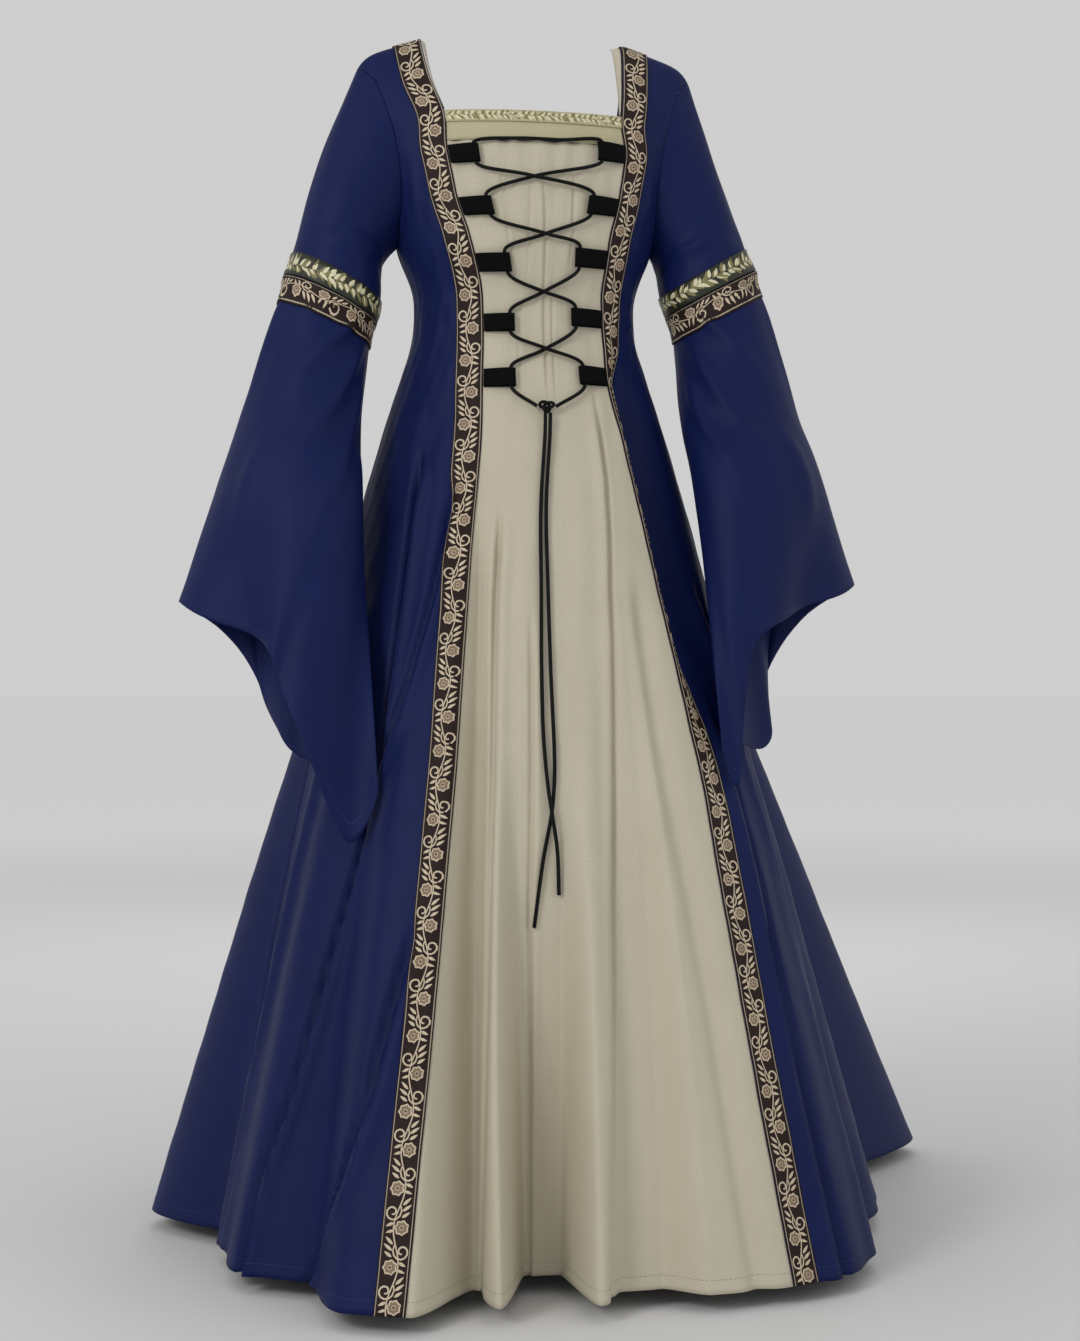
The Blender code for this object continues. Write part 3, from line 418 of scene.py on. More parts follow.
# polyester crepe: matt, fine pebbled grain, a faint crosswise slub
beigeCrepe = clothMaterial("beige polyester crepe", ("B2A994", "D5CFBC"), 1.4, 0.80, 0.05, 0.20, 0.25, 0.22, 0.2)
khakiCrepe = clothMaterial("khaki polyester crepe", ("AAA181", "CCC5A3"), 1.4, 0.80, 0.05, 0.20, 0.25, 0.22, 0.2)
# jacquard ribbon ground: dark brown warp, tight and slightly shiny
ribbonGround = clothMaterial("dark brown jacquard ribbon", ("1B110F", "33231E"), 1.0, 0.65, 0.0, 0.20, 0.2, 0.15)
# cream viscose and gold lurex figure threads floated over the ground
figureThread = clothMaterial("cream and gold figure thread", ("B09A7E", "E8D9BF"), 1.1, 0.50, 0.05, 0.40, 0.5, 0.30)
flowerThread = clothMaterial("tan flower thread", ("5A493B", "9C876F"), 1.1, 0.55, 0.0, 0.30, 0.8, 0.30)
edgeThread = clothMaterial("cream edge thread", ("8D8070", "CBBFA8"), 1.1, 0.60, 0.0, 0.30, 0.3, 0.30)
# metallised leaf braid: olive-black ground; its gold-olive leaves are drawn as two copies, pale gold-green ones as
# painted highlight and olive ones as painted shade
braidGround = clothMaterial("olive black braid ground", ("171A0F", "2E3320"), 1.0, 0.45, 0.10, 0.45, 0.2, 0.15)
braidHighlightLeaf = clothMaterial("pale gold green braid thread, painted highlight", ("A39C6A", "F0EBCB"), 1.0, 0.38, 0.05, 0.60, 0.8, 0.30)
braidShade = clothMaterial("olive braid thread, painted shade", ("56502A", "928A58"), 1.0, 0.45, 0.0, 0.45, 0.8, 0.30)
# black polyester tape, matt and close woven
blackTape = clothMaterial("black polyester tape", ("020203", "08080A"), 1.2, 0.85, 0.0, 0.12, 0.2, 0.25)


def braidedCordMaterial():
    # round braided polyester cord: eight black strands crossing at 45 degrees, with small bright edges
    made, tree = newMaterial("black braided polyester cord")
    uv = addNode(tree, "ShaderNodeUVMap", {"uv_map": "UVMap"})
    turnIn = addNode(tree, "ShaderNodeMapping", None, {"Rotation": (0, 0, math.radians(45)), "Scale": (1400.0, 1400.0, 1.0)},
                     {"Vector": uv.outputs[0]})
    strands = addNode(tree, "ShaderNodeTexBrick", {"offset": 0.5, "squash": 1.0},
                      {"Color1": hexColour("050506"), "Color2": hexColour("0B0B0D"), "Mortar": hexColour("010101"),
                       "Scale": 1.0, "Mortar Size": 0.09, "Mortar Smooth": 0.8, "Brick Width": 2.0, "Row Height": 1.0},
                      {"Vector": turnIn.outputs[0]})
    raised = addNode(tree, "ShaderNodeBump", {"invert": True}, {"Strength": 0.6, "Distance": 0.0005}, {"Height": strands.outputs["Fac"]})
    shader = addNode(tree, "ShaderNodeBsdfPrincipled", None, {"Roughness": 0.65, "Specular IOR Level": 0.2},
                     {"Base Color": strands.outputs["Color"], "Normal": raised.outputs[0]})
    addNode(tree, "ShaderNodeOutputMaterial", None, None, {"Surface": shader.outputs[0]})
    return made


blackCord = braidedCordMaterial()
print("materials made")

# ---- the lace: routes first, as they place everything at the front ----

lace = {
    "diameter": 0.0042, "sides": 12, "knotHeight": -0.4417, "knotAcross": 0.4505, "knotHalf": (0.0105, 0.0065, 0.0080),
    "acrossUnit": 0.16,
}
tabs = {"height": 0.0205, "start": 0.0015, "wall": 0.0009, "loopRadius": 0.0033}
# height and length of the right and the left tab of each pair
tabPairs = ((-0.1512, 0.0355, -0.1438, 0.0370), (-0.2115, 0.0375, -0.2070, 0.0405), (-0.2740, 0.0385, -0.2665, 0.0430),
            (-0.3420, 0.0355, -0.3340, 0.0420), (-0.4070, 0.0370, -0.4025, 0.0370))
# height and place across of each crossing of the lace
crossings = ((-0.1790, 0.444), (-0.2438, 0.503), (-0.3070, 0.476), (-0.3740, 0.472))
longEnd = ((0.467, -0.4496), (0.448, -0.475), (0.406, -0.547), (0.389, -0.649), (0.379, -0.740),
           (0.375, -0.815), (0.371, -0.860), (0.361, -0.892), (0.332, -0.940), (0.299, -1.011))
shortEnd = ((0.434, -0.4496), (0.416, -0.475), (0.376, -0.547), (0.356, -0.649), (0.340, -0.740),
            (0.335, -0.815), (0.345, -0.860), (0.361, -0.892), (0.384, -0.930), (0.392, -0.977))


def seamTurn(s):
    return shape["seam"] / 2 / np.maximum(0.1, readBody(s)[0])


def frontAngle(w, s):
    right, left = edgeAngle(-1, s) + seamTurn(s), edgeAngle(1, s) - seamTurn(s)
    return right + (left - right) * w


def lifted(angle, s, lift, plain=False):
    # points moved out along the dress's normal, for scattered places
    angle, s, lift = np.broadcast_arrays(np.asarray(angle, float), np.asarray(s, float), np.asarray(lift, float))
    step = 0.001
    across = bodyPoint(angle + step / 0.3, s, plain) - bodyPoint(angle - step / 0.3, s, plain)
    up = bodyPoint(angle, np.minimum(0.0, s + step), plain) - bodyPoint(angle, np.maximum(hem, s - step), plain)
    normal = np.cross(across, up)
    normal /= np.linalg.norm(normal, axis=-1, keepdims=True)
    return bodyPoint(angle, s, plain) + normal * lift[..., None]


def smoothPath(route, counts, reach=(1.0, 1.0, 1.0)):
    # points on a smooth curve through route points; counts gives the steps of each span
    def far(p, q):
        return max(0.0001, math.sqrt(sum(((b - a) * k) ** 2 for a, b, k in zip(p, q, reach)))) ** 0.5

    path = []
    for i, count in enumerate(counts):
        a, b = route[max(0, i - 1)], route[i]
        c, d = route[i + 1], route[min(len(route) - 1, i + 2)]
        span, before, after = far(b, c), far(a, b), far(c, d)
        for k in range(count):
            t = k / count
            spot = []
            for p, q, r, w in zip(a, b, c, d):
                leave = (r - q) if i == 0 else (
                    (q - p) / before - (r - p) / (before + span) + (r - q) / span) * span
                arrive = (r - q) if i == len(counts) - 1 else (
                    (r - q) / span - (w - q) / (span + after) + (w - r) / after) * span
                spot.append((2 * t**3 - 3 * t**2 + 1) * q + (t**3 - 2 * t**2 + t) * leave
                            + (3 * t**2 - 2 * t**3) * r + (t**3 - t**2) * arrive)
            path.append(tuple(spot))
    path.append(tuple(route[-1]))
    return path


def tubeMesh(name, path, radius, sides, rounded=False):
    # a closed tube along points, with a UV map in metres for the braid
    path = [Vector(p) for p in path]
    count = len(path)
    tangents = [(path[min(count - 1, k + 1)] - path[max(0, k - 1)]).normalized() for k in range(count)]
    side = tangents[0].orthogonal().normalized()
    gone, verts, faces, corners = 0.0, [], [], []
    lengths = []
    for k in range(count):
        if k:
            gone += (path[k] - path[k - 1]).length
            side = (side - tangents[k] * side.dot(tangents[k])).normalized()
        up = tangents[k].cross(side)
        lengths.append(gone)
        for j in range(sides):
            turn = 2 * math.pi * j / sides
            verts.append(path[k] + (side * math.cos(turn) + up * math.sin(turn)) * radius)
    girth = 2 * math.pi * radius
    for k in range(count - 1):
        for j in range(sides):
            n = (j + 1) % sides
            faces.append((k * sides + j, k * sides + n, (k + 1) * sides + n, (k + 1) * sides + j))
            u0, u1 = girth * j / sides, girth * (j + 1) / sides
            corners += [(u0, lengths[k]), (u1, lengths[k]), (u1, lengths[k + 1]), (u0, lengths[k + 1])]
    for k, flip in ((0, True), (count - 1, False)):
        ring = [k * sides + j for j in range(sides)]
        middle = len(verts)
        verts.append(path[k] + tangents[k] * (radius * 0.35 if rounded and not flip else 0.0))
        for j in range(sides):
            n = (j + 1) % sides
            faces.append((ring[n], ring[j], middle) if flip else (ring[j], ring[n], middle))
            corners += [(0.0, lengths[k]), (0.001, lengths[k]), (0.0, lengths[k] + 0.001)]
    mesh = bpy.data.meshes.new(name)
    mesh.from_pydata([tuple(v) for v in verts], [], faces)
    layer = mesh.uv_layers.new(name="UVMap")
    layer.data.foreach_set("uv", np.array(corners, dtype=np.float32).ravel())
    mesh.polygons.foreach_set("use_smooth", [True] * len(faces))
    mesh.update()
    return mesh


def tabProfile(length):
    # section of a folded tab: distance from the trim, height over the panel; back layer first
    low = shape["laidOn"] + tabs["wall"] + 0.0004
    middle = low + tabs["loopRadius"]
    end = length - tabs["loopRadius"] - tabs["wall"]
    points = [(tabs["start"] + (end - tabs["start"]) * k / 6, low) for k in range(7)]
    reach = tabs["loopRadius"] + tabs["wall"]
    for k in range(1, 12):
        turn = -math.pi / 2 + math.pi * k / 12
        points.append((end + reach * math.cos(turn), middle + tabs["loopRadius"] * math.sin(turn)))
    start = (tabs["start"], low + tabs["wall"] + 0.0012)
    for k in range(7):
        t = k / 6
        points.append((end + (start[0] - end) * t,
                       middle + tabs["loopRadius"] + (start[1] - middle - tabs["loopRadius"]) * t**1.4))
    return points, end, middle


def acrossAt(side, s, distance):
    first, last = frontAngle(0, s), frontAngle(1, s)
    angle = walkAngle(np.array([edgeAngle(side, s)]), np.array([s]), -side * distance)[0]
    return float((angle - first) / (last - first))


def lacePoints(spots):
    w, s, lift = np.array(spots).T
    return lifted(frontAngle(w, s), s, lift, True)


def lacingRoute():
    under = shape["laidOn"] + lace["diameter"] / 2 + 0.0018
    over = under + lace["diameter"] + 0.0006

    def loop(side, row):
        height, length = tabPairs[row][:2] if side < 0 else tabPairs[row][2:]
        _, end, middle = tabProfile(length)
        w = acrossAt(side, height, end)
        low, high = height - tabs["height"] / 2 - 0.0030, height + tabs["height"] / 2 + (0.0030 if row else 0.0022)
        return [(w, low, middle), (w, height, middle), (w, high, middle)]

    route = []
    for row in (4, 3, 2, 1, 0):
        route += loop(1 if row % 2 == 0 else -1, row)
        if row:
            route.append((crossings[row - 1][1], crossings[row - 1][0], over if row % 2 == 0 else under))
    start, end = loop(1, 0)[2], loop(-1, 0)[2]
    for t in (1 / 3, 2 / 3):
        route.append((start[0] + (end[0] - start[0]) * t, (start[1] + end[1]) / 2 + 0.0008, under))
    for row in (0, 1, 2, 3, 4):
        route += reversed(loop(-1 if row % 2 == 0 else 1, row))
        if row < 4:
            route.append((crossings[row][1], crossings[row][0], over if row % 2 == 0 else under))
    reach = (lace["knotHalf"][0] + shape["seam"]) / lace["acrossUnit"]
    knotLift = lace["knotHalf"][1] + shape["laidOn"] + 0.0015
    route = ([(lace["knotAcross"] + reach, lace["knotHeight"], knotLift)] + route
             + [(lace["knotAcross"] - reach, lace["knotHeight"], knotLift)])
    spans = []
    for a, b in zip(route, route[1:]):
        long = abs(a[0] - b[0]) * lace["acrossUnit"] + abs(a[1] - b[1])
        spans.append(4 if long < 0.015 else 7 if long < 0.03 else 14 if long < 0.09 else 30)
    return lacePoints(smoothPath(route, spans, (lace["acrossUnit"], 1.0, 1.0))), knotLift


def makeLace():
    points, knotLift = lacingRoute()
    radius = lace["diameter"] / 2
    place(tubeMesh("lacing_cord", points, radius, lace["sides"]), "lacing_cord", blackCord, "black_cord", "lacing")
    centre = lacePoints([(lace["knotAcross"], lace["knotHeight"], knotLift)])[0]
    # an overhand knot pulled tight: a trefoil path squeezed into the knot's room
    route = []
    for k in range(72):
        turn = 2 * math.pi * k / 72
        x = math.sin(turn) + 2 * math.sin(2 * turn)
        z = math.cos(turn) - 2 * math.cos(2 * turn)
        y = -math.sin(3 * turn)
        route.append(centre + np.array((x / 2.9 * 0.0082, y * 0.0030, z / 2.9 * 0.0061)))
    place(tubeMesh("lace_knot", route + [route[0]], radius * 0.92, 10), "lace_knot", blackCord, "black_cord", "knot")
    for name, node, rows in (("lace_long", "lace_end_long", longEnd), ("lace_short", "lace_end_short", shortEnd)):
        lifts = [knotLift, 0.0065] + [radius + 0.0022] * (len(rows) - 2)
        if node == "lace_end_short":
            for k, row in enumerate(rows):
                lifts[k] += 0.0046 * max(0.0, 1 - abs(row[1] + 0.892) / 0.06)
        spots = [(w, s, lift) for (w, s), lift in zip(rows, lifts)]
        path = lacePoints(smoothPath(spots, [12] * (len(spots) - 1), (lace["acrossUnit"], 1.0, 1.0)))
        made = place(tubeMesh(name, path, radius, lace["sides"], True), name, blackCord, "black_cord", node)


makeLace()
print("lace made")

# ---- panels ----

panels = {"frontColumns": 160, "sideColumns": 64, "backColumns": 64, "neckColumns": 26, "trimColumns": 6,
          "gathers": 8, "gatherDepth": 0.0016, "gatherEnd": -0.30}


def gatherHeight(w, s):
    # small pleats under the yoke, each a little different
    fade = ease((s - panels["gatherEnd"]) / (shape["yokeEnd"] - panels["gatherEnd"]))
    phase = 2 * math.pi * panels["gathers"] * (w + 0.010 * np.sin(w * 17.0 + 1.0))
    return panels["gatherDepth"] * fade * (np.cos(phase) - 1) / 2 * (1 + 0.35 * np.sin(w * 23.0))


def sheetFacts(points, closed=False):
    # widest row, longest column and area of a cut piece
    lap = np.concatenate([points, points[:, :1]], axis=1) if closed else points
    across = np.linalg.norm(np.diff(lap, axis=1), axis=-1).sum(axis=1).max()
    along = np.linalg.norm(np.diff(lap, axis=0), axis=-1).sum(axis=0).max()
    a = lap[1:, :-1] - lap[:-1, :-1]
    b = lap[:-1, 1:] - lap[:-1, :-1]
    area = np.linalg.norm(np.cross(a, b), axis=-1).sum()
    return round(float(across), 3), round(float(along), 3), round(float(area), 4)


def declareSheet(made, points, closed=False, turnedUnder=0.0):
    # turnedUnder is cloth folded to the wrong side that doesn't show
    across, along, area = sheetFacts(points, closed)
    across, area = across + turnedUnder, area + turnedUnder * along
    area = min(area, across * along)
    print(made.name, "cut %.3f by %.3f m, %.4f m2" % (across, along, area))


hems = []       # name, points, thread, slot and whether it goes all round, for the stitching


def makeFront():
    rows = rowHeights(hem, shape["yokeEnd"] - shape["seam"] / 2)
    w = np.linspace(0, 1, panels["frontColumns"] + 1)
    angles = frontAngle(w[None, :], rows[:, None])
    base = bodyPoint(angles, rows[:, None])
    points = base + gridNormals(base) * gatherHeight(w[None, :], rows[:, None])[..., None]
    front = thicken(place(gridMesh("front_panel", points), "front_panel", beigeCrepe, "beige_cloth", "centre_front"),
                    shape["cloth"])
    declareSheet(front, points)
    hems.append(("hem_stitches_front", points, "beige", "beige_cloth", False))
    rows = np.linspace(shape["yokeEnd"] + shape["seam"] / 2, shape["neckline"], 9)
    base = bodyPoint(frontAngle(w[None, :], rows[:, None]), rows[:, None])
    yoke = thicken(place(gridMesh("yoke_panel", base), "yoke_panel", khakiCrepe, "khaki_cloth", "yoke"), shape["cloth"])
    declareSheet(yoke, base)


def sideAngles(side, rows):
    inner = edgeAngle(side, rows) + side * seamTurn(rows)
    end = outerEdge(side, rows) - side * seamTurn(rows)
    trimEnd = walkAngle(inner, rows, side * shape["trimWidth"])
    return inner, trimEnd, end


def makeSides():
    for side, name in ((-1, "right"), (1, "left")):
        rows = rowHeights(hem, 0.0)
        inner, trimEnd, end = sideAngles(side, rows)
        near, far = panels["trimColumns"], panels["sideColumns"] - panels["trimColumns"]
        t = np.linspace(0, 1, near + 1)[None, :]
        first = inner[:, None] + (trimEnd - inner)[:, None] * t
        t = np.linspace(0, 1, far + 1)[None, 1:]
        second = trimEnd[:, None] + (end - trimEnd)[:, None] * t
        angles = np.hstack([first, second])
        if side < 0:
            angles = angles[:, ::-1]
        points = bodyPoint(angles, rows[:, None])
        panel = place(gridMesh("side_panel_" + name, points), "side_panel_" + name, navySatin, "blue_cloth", "side_front_" + name)
        declareSheet(thicken(panel, shape["cloth"]), points)
        hems.append(("hem_stitches_side_" + name, points, "navy", "blue_cloth", False))


def makeBacks():
    for side, name in ((-1, "right"), (1, "left")):
        rows = np.array(sorted(set(rowHeights(hem, 0.0)) | {shape["backNeck"]}))
        neck = np.radians(readBackEdge(np.maximum(rows, shape["backNeck"]))[0 if side < 0 else 1])
        middle = seamTurn(rows)
        near, far = panels["neckColumns"], panels["backColumns"] - panels["neckColumns"]
        t = np.linspace(0, 1, near + 1)[None, :]
        first = math.pi - middle[:, None] - (neck - middle)[:, None] * t
        end = np.abs(outerEdge(side, rows))
        end = np.where(rows > armpit, math.pi - end, end) + seamTurn(rows)
        start = math.pi - neck
        t = np.linspace(0, 1, far + 1)[None, 1:]
        second = start[:, None] + (end - start)[:, None] * t
        angles = side * np.hstack([first, second])
        if side > 0:
            angles = angles[:, ::-1]
        points = bodyPoint(angles, rows[:, None])
        neckRow = int(np.searchsorted(rows, shape["backNeck"]))
        total = panels["backColumns"]

        def open_(r, c):
            fromMiddle = c if side < 0 else total - 1 - c
            return fromMiddle < near and r >= neckRow

        mesh = gridMesh("back_panel_" + name, points, drop=open_)
        panel = thicken(place(mesh, "back_panel_" + name, navySatin, "blue_cloth", "back_" + name), shape["cloth"])
        across, along, area = sheetFacts(points)
        hems.append(("hem_stitches_back_" + name, points, "navy", "blue_cloth", False))


facingLean = {-1: 0.0050, 1: 0.0085}        # how far a facing leans into the neck at the shoulder


def makeFacings():
    for side, name in ((-1, "right"), (1, "left")):
        levels = np.concatenate([np.linspace(shape["neckline"] + 0.003, -0.020, 15), [-0.014, -0.008, -0.005, -0.002]])
        edge = bodyPoint(edgeAngle(side, levels), levels)
        deep = 0.0110 * (0.3 + 0.7 * (levels - shape["neckline"]) / -shape["neckline"])
        deep = np.minimum(deep, -edge[:, 1] - 0.006)
        t = np.linspace(0, 1, 4)[None, :]
        lean = facingLean[side] * (levels - shape["neckline"]) / -shape["neckline"]
        x = edge[:, 0, None] - side * (2 * shape["seam"] + 0.001 + lean[:, None] * (1 - t))
        y = edge[:, 1, None] + 0.0005 + deep[:, None] * (1 - t)
        points = np.stack([x, y, edge[:, 2, None] + 0 * t], axis=-1)
        if side < 0:
            points = points[:, ::-1]
        made = place(gridMesh("facing_" + name, points), "facing_" + name, beigeCrepe, "beige_cloth", "neck_facing_" + name)
        declareSheet(thicken(made, 0.0008), points, turnedUnder=0.002)


makeFront()
makeSides()
makeBacks()
makeFacings()
print("panels made")

# ---- sleeves ----

# outer point, inner point, half depth to the front and back of each ring down the arm
armRings = {
    -1: (((-0.243, 0.000, -0.150), (-0.168, 0.000, -0.268), 0.058, 0.056),
         ((-0.273, -0.010, -0.256), (-0.171, -0.010, -0.311), 0.058, 0.056),
         ((-0.282, -0.010, -0.282), (-0.177, -0.010, -0.335), 0.059, 0.057),
         ((-0.290, -0.015, -0.315), (-0.185, -0.015, -0.365), 0.060, 0.058),
         ((-0.328, -0.025, -0.430), (-0.198, -0.050, -0.470), 0.072, 0.064),
         ((-0.361, -0.040, -0.530), (-0.200, -0.105, -0.575), 0.078, 0.066)),
    1: (((0.235, 0.000, -0.150), (0.160, 0.000, -0.262), 0.058, 0.056),
        ((0.264, -0.010, -0.236), (0.163, -0.010, -0.295), 0.058, 0.056),
        ((0.276, -0.010, -0.261), (0.171, -0.010, -0.317), 0.059, 0.057),
        ((0.281, -0.015, -0.294), (0.179, -0.015, -0.350), 0.060, 0.058),
        ((0.318, -0.025, -0.420), (0.179, -0.055, -0.450), 0.072, 0.064),
        ((0.352, -0.040, -0.520), (0.182, -0.115, -0.550), 0.078, 0.066)),
}
# turn round the arm (0 outer, 90 front, 180 inner, 270 back), point on the hem
sleeveHems = {
    -1: ((0, -0.404, -0.060, -0.660), (40, -0.364, -0.120, -0.684), (75, -0.316, -0.155, -0.707),
         (108, -0.303, -0.175, -0.742), (140, -0.277, -0.200, -0.803), (165, -0.228, -0.208, -0.922),
         (188, -0.194, -0.208, -0.866), (215, -0.222, -0.178, -0.848), (245, -0.272, -0.130, -0.834),
         (280, -0.298, -0.090, -0.799), (312, -0.312, -0.052, -0.752), (340, -0.362, -0.032, -0.690)),
    1: ((0, 0.388, -0.050, -0.636), (40, 0.340, -0.105, -0.655), (75, 0.282, -0.150, -0.676),
        (105, 0.235, -0.180, -0.705), (135, 0.215, -0.195, -0.770), (160, 0.207, -0.205, -0.866),
        (185, 0.190, -0.200, -0.825), (215, 0.222, -0.165, -0.820), (245, 0.264, -0.110, -0.827),
        (280, 0.281, -0.065, -0.790), (312, 0.282, -0.042, -0.745), (340, 0.340, -0.030, -0.672)),
}
# turn, ridge (+) or trough (-) at the hem
sleeveFolds = np.array(((0, 0.000), (28, 0.007), (58, -0.009), (92, 0.007), (125, -0.006), (160, 0.000),
                        (200, 0.000), (235, 0.007), (268, -0.008), (300, 0.007), (332, -0.006), (360, 0.000)))
# creases: turn and ring of the start and of the end, half width in metres, height
sleeveCreases = {
    -1: ((150, 3.4, 60, 4.9, 0.007, 0.0034), (160, 3.7, 80, 5.6, 0.008, 0.0036), (165, 4.1, 105, 6.3, 0.008, 0.0032),
         (140, 3.2, 40, 4.2, 0.006, 0.0026), (120, 1.2, 40, 1.9, 0.008, 0.0024), (150, 0.9, 70, 1.6, 0.007, 0.0026),
         (60, 5.2, 45, 6.6, 0.010, 0.0030), (20, 3.6, 15, 5.2, 0.010, 0.0026)),
    1: ((150, 3.4, 60, 4.9, 0.007, 0.0034), (160, 3.8, 85, 5.6, 0.008, 0.0034), (168, 4.2, 110, 6.2, 0.008, 0.0032),
        (130, 3.2, 35, 4.1, 0.006, 0.0026), (120, 1.1, 45, 1.9, 0.008, 0.0024), (150, 0.9, 75, 1.7, 0.007, 0.0026),
        (70, 5.1, 55, 6.6, 0.010, 0.0030), (20, 3.6, 18, 5.3, 0.010, 0.0024)),
}
sleeves = {"columns": 96, "seam": 0.0004, "bandTop": 2.0, "bandSeam": 3.0, "bandEnd": 4.0, "gap": 0.006, "bandGap": 0.018}


def armLoop(side, turn):
    def seamPlace(turn):
        s = armpit * (1 - np.cos(turn)) / 2
        angle = side * np.radians(readArmhole(s)[0])
        return np.where(np.sin(turn) >= 0, angle, side * math.pi - angle), s

    angle, s = seamPlace(turn)
    edge = bodyPoint(angle, s)
    along = bodyPoint(*seamPlace(turn + 0.05)) - bodyPoint(*seamPlace(turn - 0.05))
    out = lifted(angle, s, 0.001) - edge
    away = np.cross(along, out)
    away /= np.linalg.norm(away, axis=-1, keepdims=True)
    return edge - side * away * sleeves["seam"]


def hemPoint(side, turn):
    table = np.array(sleeveHems[side], float)
    looped = np.vstack([table + [-360, 0, 0, 0], table, table + [360, 0, 0, 0]])
    degrees = np.degrees(turn) % 360
    i = np.searchsorted(looped[:, 0], degrees, side="right") - 1
    a, b, c, d = looped[i - 1], looped[i], looped[i + 1], looped[i + 2]
    span = (c[:, :1] - b[:, :1])
    t = (degrees[:, None] - b[:, :1]) / span
    leave = (c - a)[:, 1:] / (c - a)[:, :1] * span
    arrive = (d - b)[:, 1:] / (d - b)[:, :1] * span
    return ((2 * t**3 - 3 * t**2 + 1) * b[:, 1:] + (t**3 - 2 * t**2 + t) * leave
            + (3 * t**2 - 2 * t**3) * c[:, 1:] + (t**3 - t**2) * arrive)


def armGrid(side, turns, levels):
    rings = armRings[side]
    level = []

    def ring(k):
        if k <= 0:
            return armLoop(side, turns)
        if k > len(rings):
            degrees = np.degrees(turns) % 360
            i = np.clip(np.searchsorted(sleeveFolds[:, 0], degrees, side="right") - 1, 0, len(sleeveFolds) - 2)
            t = (degrees - sleeveFolds[i, 0]) / (sleeveFolds[i + 1, 0] - sleeveFolds[i, 0])
            out = sleeveFolds[i, 1] + (sleeveFolds[i + 1, 1] - sleeveFolds[i, 1]) * ease(t)
            way = np.stack([side * np.cos(turns), -np.sin(turns), 0 * turns], axis=-1)
            return hemPoint(side, turns) + way * out[:, None]
        outer, inner, front, back = rings[k - 1]
        outer, inner = np.array(outer), np.array(inner)
        middle = (outer + inner) / 2
        deep = np.where(np.sin(turns) > 0, front, back)
        ahead = np.stack([0 * turns, -deep * np.sin(turns), 0 * turns], axis=-1)
        return middle + (outer - middle) * np.cos(turns)[:, None] + ahead

    known = {k: ring(k) for k in range(len(rings) + 2)}
    for at in levels:
        k = min(len(rings), int(at))
        b, c = known[k], known[k + 1]
        a = known[k - 1] if k else b
        d = known[k + 2] if k < len(rings) else c + (c - b) * 0.6
        f = at - k
        level.append(0.5 * (2 * b + (c - a) * f + (2 * a - 5 * b + 4 * c - d) * f**2 + (3 * b - a - 3 * c + d) * f**3))
    return np.array(level)


def sleeveSurface(side, levels, columns):
    # outer face with its creases; columns run so that the normal points out
    turns = np.linspace(0, 2 * math.pi, columns, endpoint=False) * -side
    base = armGrid(side, turns, levels)
    degrees = np.degrees(turns) % 360
    turnGrid, levelGrid = np.meshgrid(degrees, levels)
    height = np.zeros_like(turnGrid)
    for a0, t0, a1, t1, width, tall in sleeveCreases[side]:
        # 0.09 m to a ring's step and 1.1 mm to a degree
        run, rise = (a1 - a0) * 0.0011, (t1 - t0) * 0.09
        x, y = (turnGrid - a0) * 0.0011, (levelGrid - t0) * 0.09
        t = (x * run + y * rise) / (run * run + rise * rise)
        off = (x * rise - y * run) / math.hypot(run, rise)
        height += 1.7 * tall * ease(np.clip(t, 0, 1) * 2.5) * ease((1 - np.clip(t, 0, 1)) * 2.5) * np.exp(-(off / width) ** 2)
    height *= 1 - np.exp(-((levelGrid - sleeves["bandSeam"]) / 0.7) ** 2)
    worn = ease(levelGrid / 0.6)
    height += worn * unevenness(np.sin(turns)[None, :] * 0.1 + np.cos(turns)[None, :] * 0.07, levelGrid * 0.08)
    return base + gridNormals(base, True) * height[..., None]


def makeSleeves():
    for side, name in ((-1, "right"), (1, "left")):
        gap = sleeves["gap"]
        upper = np.concatenate([np.linspace(sleeves["bandSeam"] - gap, 1.0, 22), np.linspace(1.0, 0.0, 30)[1:]])
        lower = np.concatenate([np.linspace(7.0, 6.0, 34), np.linspace(6.0, 4.0, 44)[1:],
                                np.linspace(4.0, sleeves["bandSeam"] + gap, 8)[1:]])
        for piece, levels, node, held in (("sleeve_top_", upper, "upper_sleeve_", "side_panel_"),
                                          ("sleeve_bell_", lower, "lower_sleeve_", "sleeve_top_")):
            points = sleeveSurface(side, levels, sleeves["columns"])
            made = place(gridMesh(piece + name, points, True), piece + name, navySatin, "blue_cloth", node + name)
            declareSheet(thicken(made, shape["cloth"]), points, True)
            if piece == "sleeve_bell_":
                hems.append(("hem_stitches_sleeve_" + name, points, "navy", "blue_cloth", True))


makeSleeves()
print("sleeves made")

# ---- woven trims, braids and arm bands ----

def strip(points, lift, width=None):
    # a frame for what is laid on: rows run along the strip and columns across it
    normals = gridNormals(points)
    middle = points[:, points.shape[1] // 2]
    along = np.concatenate([[0.0], np.cumsum(np.linalg.norm(np.diff(middle, axis=0), axis=-1))])
    return {"points": points + normals * lift, "normals": normals, "along": along, "length": float(along[-1]),
            "width": float(width or np.linalg.norm(np.diff(points[0], axis=0), axis=-1).sum())}


